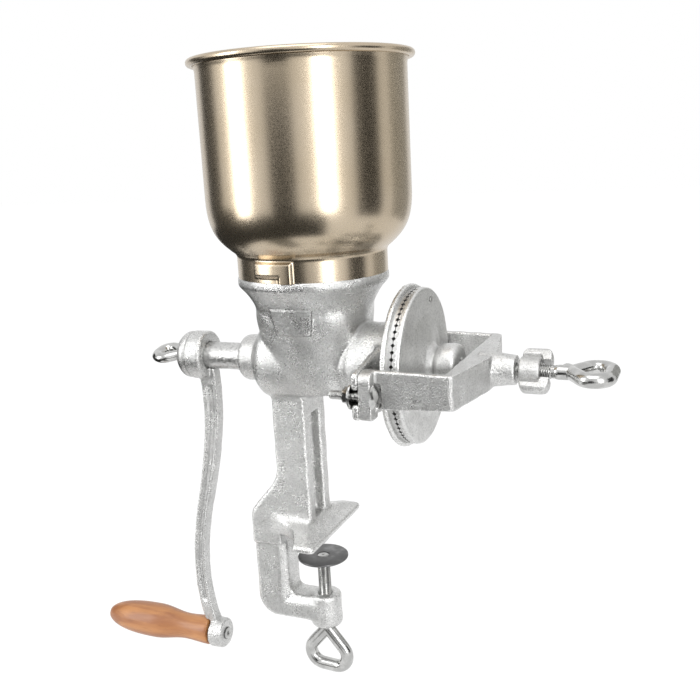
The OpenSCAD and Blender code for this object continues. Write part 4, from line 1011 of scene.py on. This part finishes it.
class MILL_OT_fasteners(bpy.types.Operator):
    """Builds the yoke's bolts, washers and nuts"""
    bl_idname = "mill.fasteners"
    bl_label = "Bolts, washers and nuts"

    def execute(self, context):
        zinc = materials()["zinc"]
        tip, out, drop = box_mm("yoke_bolts")[0][0] - SHAFT[0], 64.5, 5
        grids = [grid for side in (-1, 1) for grid in bolt_grids(tip, SHAFT + [0, side * out, -drop])]
        piece("yoke_bolt_pair", grids, zinc, "mill_frame", "zinc_steel", "yoke_bolts", sharp=35)
        for label in ("near", "far"):
            low, high = box_mm(f"yoke_washer_{label}")
            centre, x1, r, hole_r = (low + high) / 2, (high[0] - low[0]) / 2, (high[1] - low[1]) / 2, 3.1
            line = rounded([[-x1, hole_r], [-x1, r], [x1, r], [x1, hole_r]], [0.15, 0.35, 0.35, 0.15], 4)
            piece(f"washer_{label}", [about_x(turned(line, 64)) + centre], zinc, f"yoke_washer_{label}",
                  "zinc_steel", closed=True, sharp=45)
            low, high = box_mm(f"yoke_nut_{label}")
            face = [low[0], (low[1] + high[1]) / 2, (low[2] + high[2]) / 2]
            nut = about_x(hex_nut(10.0, high[0] - low[0], 3.05)) + face
            piece(f"nut_{label}", [nut], zinc, f"yoke_nut_{label}", "zinc_steel", closed=True, sharp=30)
        return {"FINISHED"}


class MILL_OT_plain_nodes(bpy.types.Operator):
    """Gives the pieces that keep their CAD shape their finishes"""
    bl_idname = "mill.plain_nodes"
    bl_label = "Plates, shaft and pins"

    def execute(self, context):
        m = materials()
        finish = {"plate": ("fixed_plate", "moving_plate"), "shaft": ("auger_shaft",),
                  "zinc": ("thrust_ball", "carrier_pin", "moving_plate_rivets", "fixed_plate_screws",
                           "grip_washer")}
        for key, names in finish.items():
            for name in names:
                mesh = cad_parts[name].data
                mesh.materials.clear()
                mesh.materials.append(m[key])
        return {"FINISHED"}


# Stage, in metres

AXIS = (SHAFT[0] * MM, 0.0)
FLOOR_Z = -0.15
FLOOR_HALF = 6
LAMP_POWER = 6
LAMP_TARGET = (0, 0, 0.14)
# Name, azimuth and elevation in degrees, distance, and size
LAMPS = (("key_softbox", -44, 14, 1.15, (0.34, 1.0)), ("side_softbox", -138, 14, 1.15, (0.40, 1.0)),
         ("top_softbox", -80, 72, 1.3, (0.9, 0.9)))
# Name, azimuth, width, lower and upper edge, and grey
STANDING_FLAGS = (("flag_front", -90.5, 0.5, -0.115, 0.4, 0.025), ("flag_right", 3, 0.56, -0.115, 0.6, 0.025),
                  ("flag_left_edge", 176, 0.56, -0.115, 0.6, 0.04),
                  ("flag_left_low", 200, 0.42, -0.115, 0.12, 0.025),
                  ("flag_right_edge", 56, 0.7, -0.1, 0.7, 0.3))
FLAG_DISTANCE = 1.0
# Name, azimuths, radii, height, and grey
LYING_FLAGS = (("flag_middle", (-235, -48), (0.17, 0.75), 0.06, 0.03),
               ("flag_low", (-135, -95), (0.1, 0.9), -0.14, 0.15))
# Pinhole camera fitted to the photograph: angles in degrees, lengths in millimetres
CAMERA_TURN, CAMERA_RISE, CAMERA_ROLL = 23.64, 13.0, 3.05
CAMERA_BACK, CAMERA_RIGHT, CAMERA_UP = 650.96, 22.48, 6.04
FOCAL_PIXELS, PICTURE_PIXELS, SENSOR = 910.3, 700, 36


def plainly_seen(tree):
    """1 for rays from the camera, off glossy surfaces or through clear ones, else 0."""
    path = node(tree, "LightPath")
    seen = math_node(tree, "MAXIMUM", path["Is Camera Ray"], path["Is Glossy Ray"])
    return math_node(tree, "MAXIMUM", seen, path["Is Transmission Ray"])


def pale_floor(tree):
    """Pale floor: what is plainly seen of it is mostly a white glow, with some of its shading."""
    base = mix(tree, noise(tree, own_point(tree), 2.0, 3.0), opaque([0.93] * 3), opaque([0.97] * 3))
    lit = node(tree, "BsdfDiffuse", {"Color": base})[0]
    glow = node(tree, "Emission", {"Color": opaque([1] * 3), "Strength": 1.05})[0]
    share = math_node(tree, "MULTIPLY", plainly_seen(tree), 0.8)
    surface(tree, node(tree, "MixShader", {0: share, 1: lit, 2: glow})[0])


def dark_cloth(tree, grey):
    """Dark cloth, seen from its front only."""
    cloud = noise(tree, own_point(tree), 3.0)
    base = mix(tree, cloud, (grey, grey, grey * 0.96, 1), (grey * 1.2, grey * 1.2, grey * 1.15, 1))
    cloth = node(tree, "BsdfDiffuse", {"Color": base})[0]
    clear = node(tree, "BsdfTransparent")[0]
    back = node(tree, "NewGeometry")["Backfacing"]
    surface(tree, node(tree, "MixShader", {0: back, 1: cloth, 2: clear})[0])


def staged(name, data):
    """New object in the scene."""
    obj = bpy.data.objects.new(name, data)
    bpy.context.scene.collection.objects.link(obj)
    return obj


def softbox(name, azimuth, elevation, distance, size):
    """Rectangular area lamp that faces the target."""
    light = bpy.data.lights.new(name, "AREA")
    light.shape = "RECTANGLE"
    light.size, light.size_y = size
    light.energy = LAMP_POWER
    obj = staged(name, light)
    a, e = math.radians(azimuth), math.radians(elevation)
    away = Vector((math.cos(e) * math.cos(a), math.cos(e) * math.sin(a), math.sin(e)))
    obj.location = Vector(LAMP_TARGET) + distance * away
    obj.rotation_euler = (Vector(LAMP_TARGET) - obj.location).to_track_quat("-Z", "Y").to_euler()
    obj.visible_camera = False


def flag(name, grid, grey):
    """Dark board that only glossy surfaces see, from two rows of points in metres."""
    count = grid.shape[1]
    first = np.arange(count - 1)
    quads = np.stack([first + count, first + count + 1, first + 1, first], -1)
    mesh = mesh_of(name, grid.reshape(-1, 3), quads)
    mesh.materials.append(once(f"{name} card", dark_cloth, grey))
    obj = staged(name, mesh)
    obj.visible_camera = obj.visible_diffuse = obj.visible_shadow = obj.visible_transmission = False


def standing_flag(name, azimuth, width, low, high, grey):
    """Upright board at an azimuth round the hopper's axis, with its front to the axis."""
    a = math.radians(azimuth)
    centre = np.array(AXIS) + FLAG_DISTANCE * np.array([math.cos(a), math.sin(a)])
    across = np.array([-math.sin(a), math.cos(a)]) * width / 2
    p, q = centre - across, centre + across
    flag(name, np.array([[[*p, low], [*q, low]], [[*p, high], [*q, high]]]), grey)


def lying_flag(name, azimuths, radii, height, grey):
    """Level board with its front up: the part of a ring round the hopper's axis between two azimuths."""
    a = np.radians(np.linspace(*azimuths, 25))
    rows = [np.stack([AXIS[0] + r * np.cos(a), r * np.sin(a), np.full(25, height)], -1) for r in radii]
    flag(name, np.array(rows), grey)


def white_world():
    """World that is white where it is plainly seen and a little weaker as a light."""
    world = bpy.data.worlds.new("studio")
    bpy.context.scene.world = world
    world.use_nodes = True
    tree = world.node_tree
    tree.nodes.clear()
    strength = math_node(tree, "MULTIPLY_ADD", plainly_seen(tree), 0.1, 0.9)
    back = node(tree, "Background", {"Color": opaque([1] * 3), "Strength": strength})
    node(tree, "OutputWorld", {"Surface": back[0]})


def photo_camera():
    """Camera at the photograph's angle: it looks against the back direction, and its right and
    up are turned by the roll."""
    turn, rise, roll = [math.radians(angle) for angle in (CAMERA_TURN, CAMERA_RISE, CAMERA_ROLL)]
    back = Vector((math.sin(turn) * math.cos(rise), -math.cos(turn) * math.cos(rise), math.sin(rise)))
    right = Vector((math.cos(turn), math.sin(turn), 0))
    up = back.cross(right)
    at = (back * CAMERA_BACK + right * CAMERA_RIGHT + up * CAMERA_UP + Vector(SHAFT)) * MM
    x = right * math.cos(roll) - up * math.sin(roll)
    y = right * math.sin(roll) + up * math.cos(roll)
    camera = bpy.data.cameras.new("camera")
    camera.sensor_width = SENSOR
    camera.lens = FOCAL_PIXELS / PICTURE_PIXELS * SENSOR
    camera.clip_start = 0.05
    obj = staged("camera", camera)
    obj.matrix_world = Matrix([[*row, 0] for row in (x, y, back)] + [[*at, 1]]).transposed()
    bpy.context.scene.camera = obj


class MILL_OT_stage(bpy.types.Operator):
    """Builds the floor, the lamps, the flags, the world and the camera"""
    bl_idname = "mill.stage"
    bl_label = "Studio and camera"

    def execute(self, context):
        context.scene.view_settings.view_transform = "Standard"
        corners = [(x * FLOOR_HALF, y * FLOOR_HALF, FLOOR_Z) for x, y in ((-1, -1), (1, -1), (1, 1), (-1, 1))]
        mesh = bpy.data.meshes.new("floor")
        mesh.from_pydata(corners, [], [(0, 1, 2, 3)])
        mesh.materials.append(once("pale floor", pale_floor))
        staged("floor", mesh)
        white_world()
        for lamp in LAMPS:
            softbox(*lamp)
        for board in STANDING_FLAGS:
            standing_flag(*board)
        for board in LYING_FLAGS:
            lying_flag(*board)
        photo_camera()
        return {"FINISHED"}


# Panel and registration

STEPS = (MILL_OT_castings, MILL_OT_hopper, MILL_OT_screws, MILL_OT_grip, MILL_OT_pad, MILL_OT_fasteners,
         MILL_OT_plain_nodes, MILL_OT_stage)


class MILL_PT_panel(bpy.types.Panel):
    """Lists the settings and the steps that build the dressed mill"""
    bl_idname = "MILL_PT_panel"
    bl_label = "Grain mill"
    bl_space_type = "VIEW_3D"
    bl_region_type = "UI"
    bl_category = "Grain mill"

    def draw(self, context):
        layout = self.layout
        for group in (context.scene.mill_shape, context.scene.mill_finish):
            column = layout.column()
            for key in group.__annotations__:
                column.prop(group, key)
        for step in STEPS:
            layout.operator(step.bl_idname)


CLASSES = (MillShapeSettings, MillFinishSettings, *STEPS, MILL_PT_panel)


def register():
    """Makes the settings, the steps and the panel known to Blender."""
    for cls in CLASSES:
        bpy.utils.register_class(cls)
    bpy.types.Scene.mill_shape = PointerProperty(type=MillShapeSettings)
    bpy.types.Scene.mill_finish = PointerProperty(type=MillFinishSettings)


def unregister():
    """Takes away what register added."""
    del bpy.types.Scene.mill_finish
    del bpy.types.Scene.mill_shape
    for cls in reversed(CLASSES):
        bpy.utils.unregister_class(cls)


def plain(corners):
    """The corners of a box as plain lists of numbers."""
    return [[float(v) for v in corner] for corner in corners]


def main():
    """Builds the dressed mill."""
    register()
    for step in STEPS:
        getattr(bpy.ops.mill, step.bl_idname.removeprefix("mill."))()


if __name__ == "__main__":
    main()
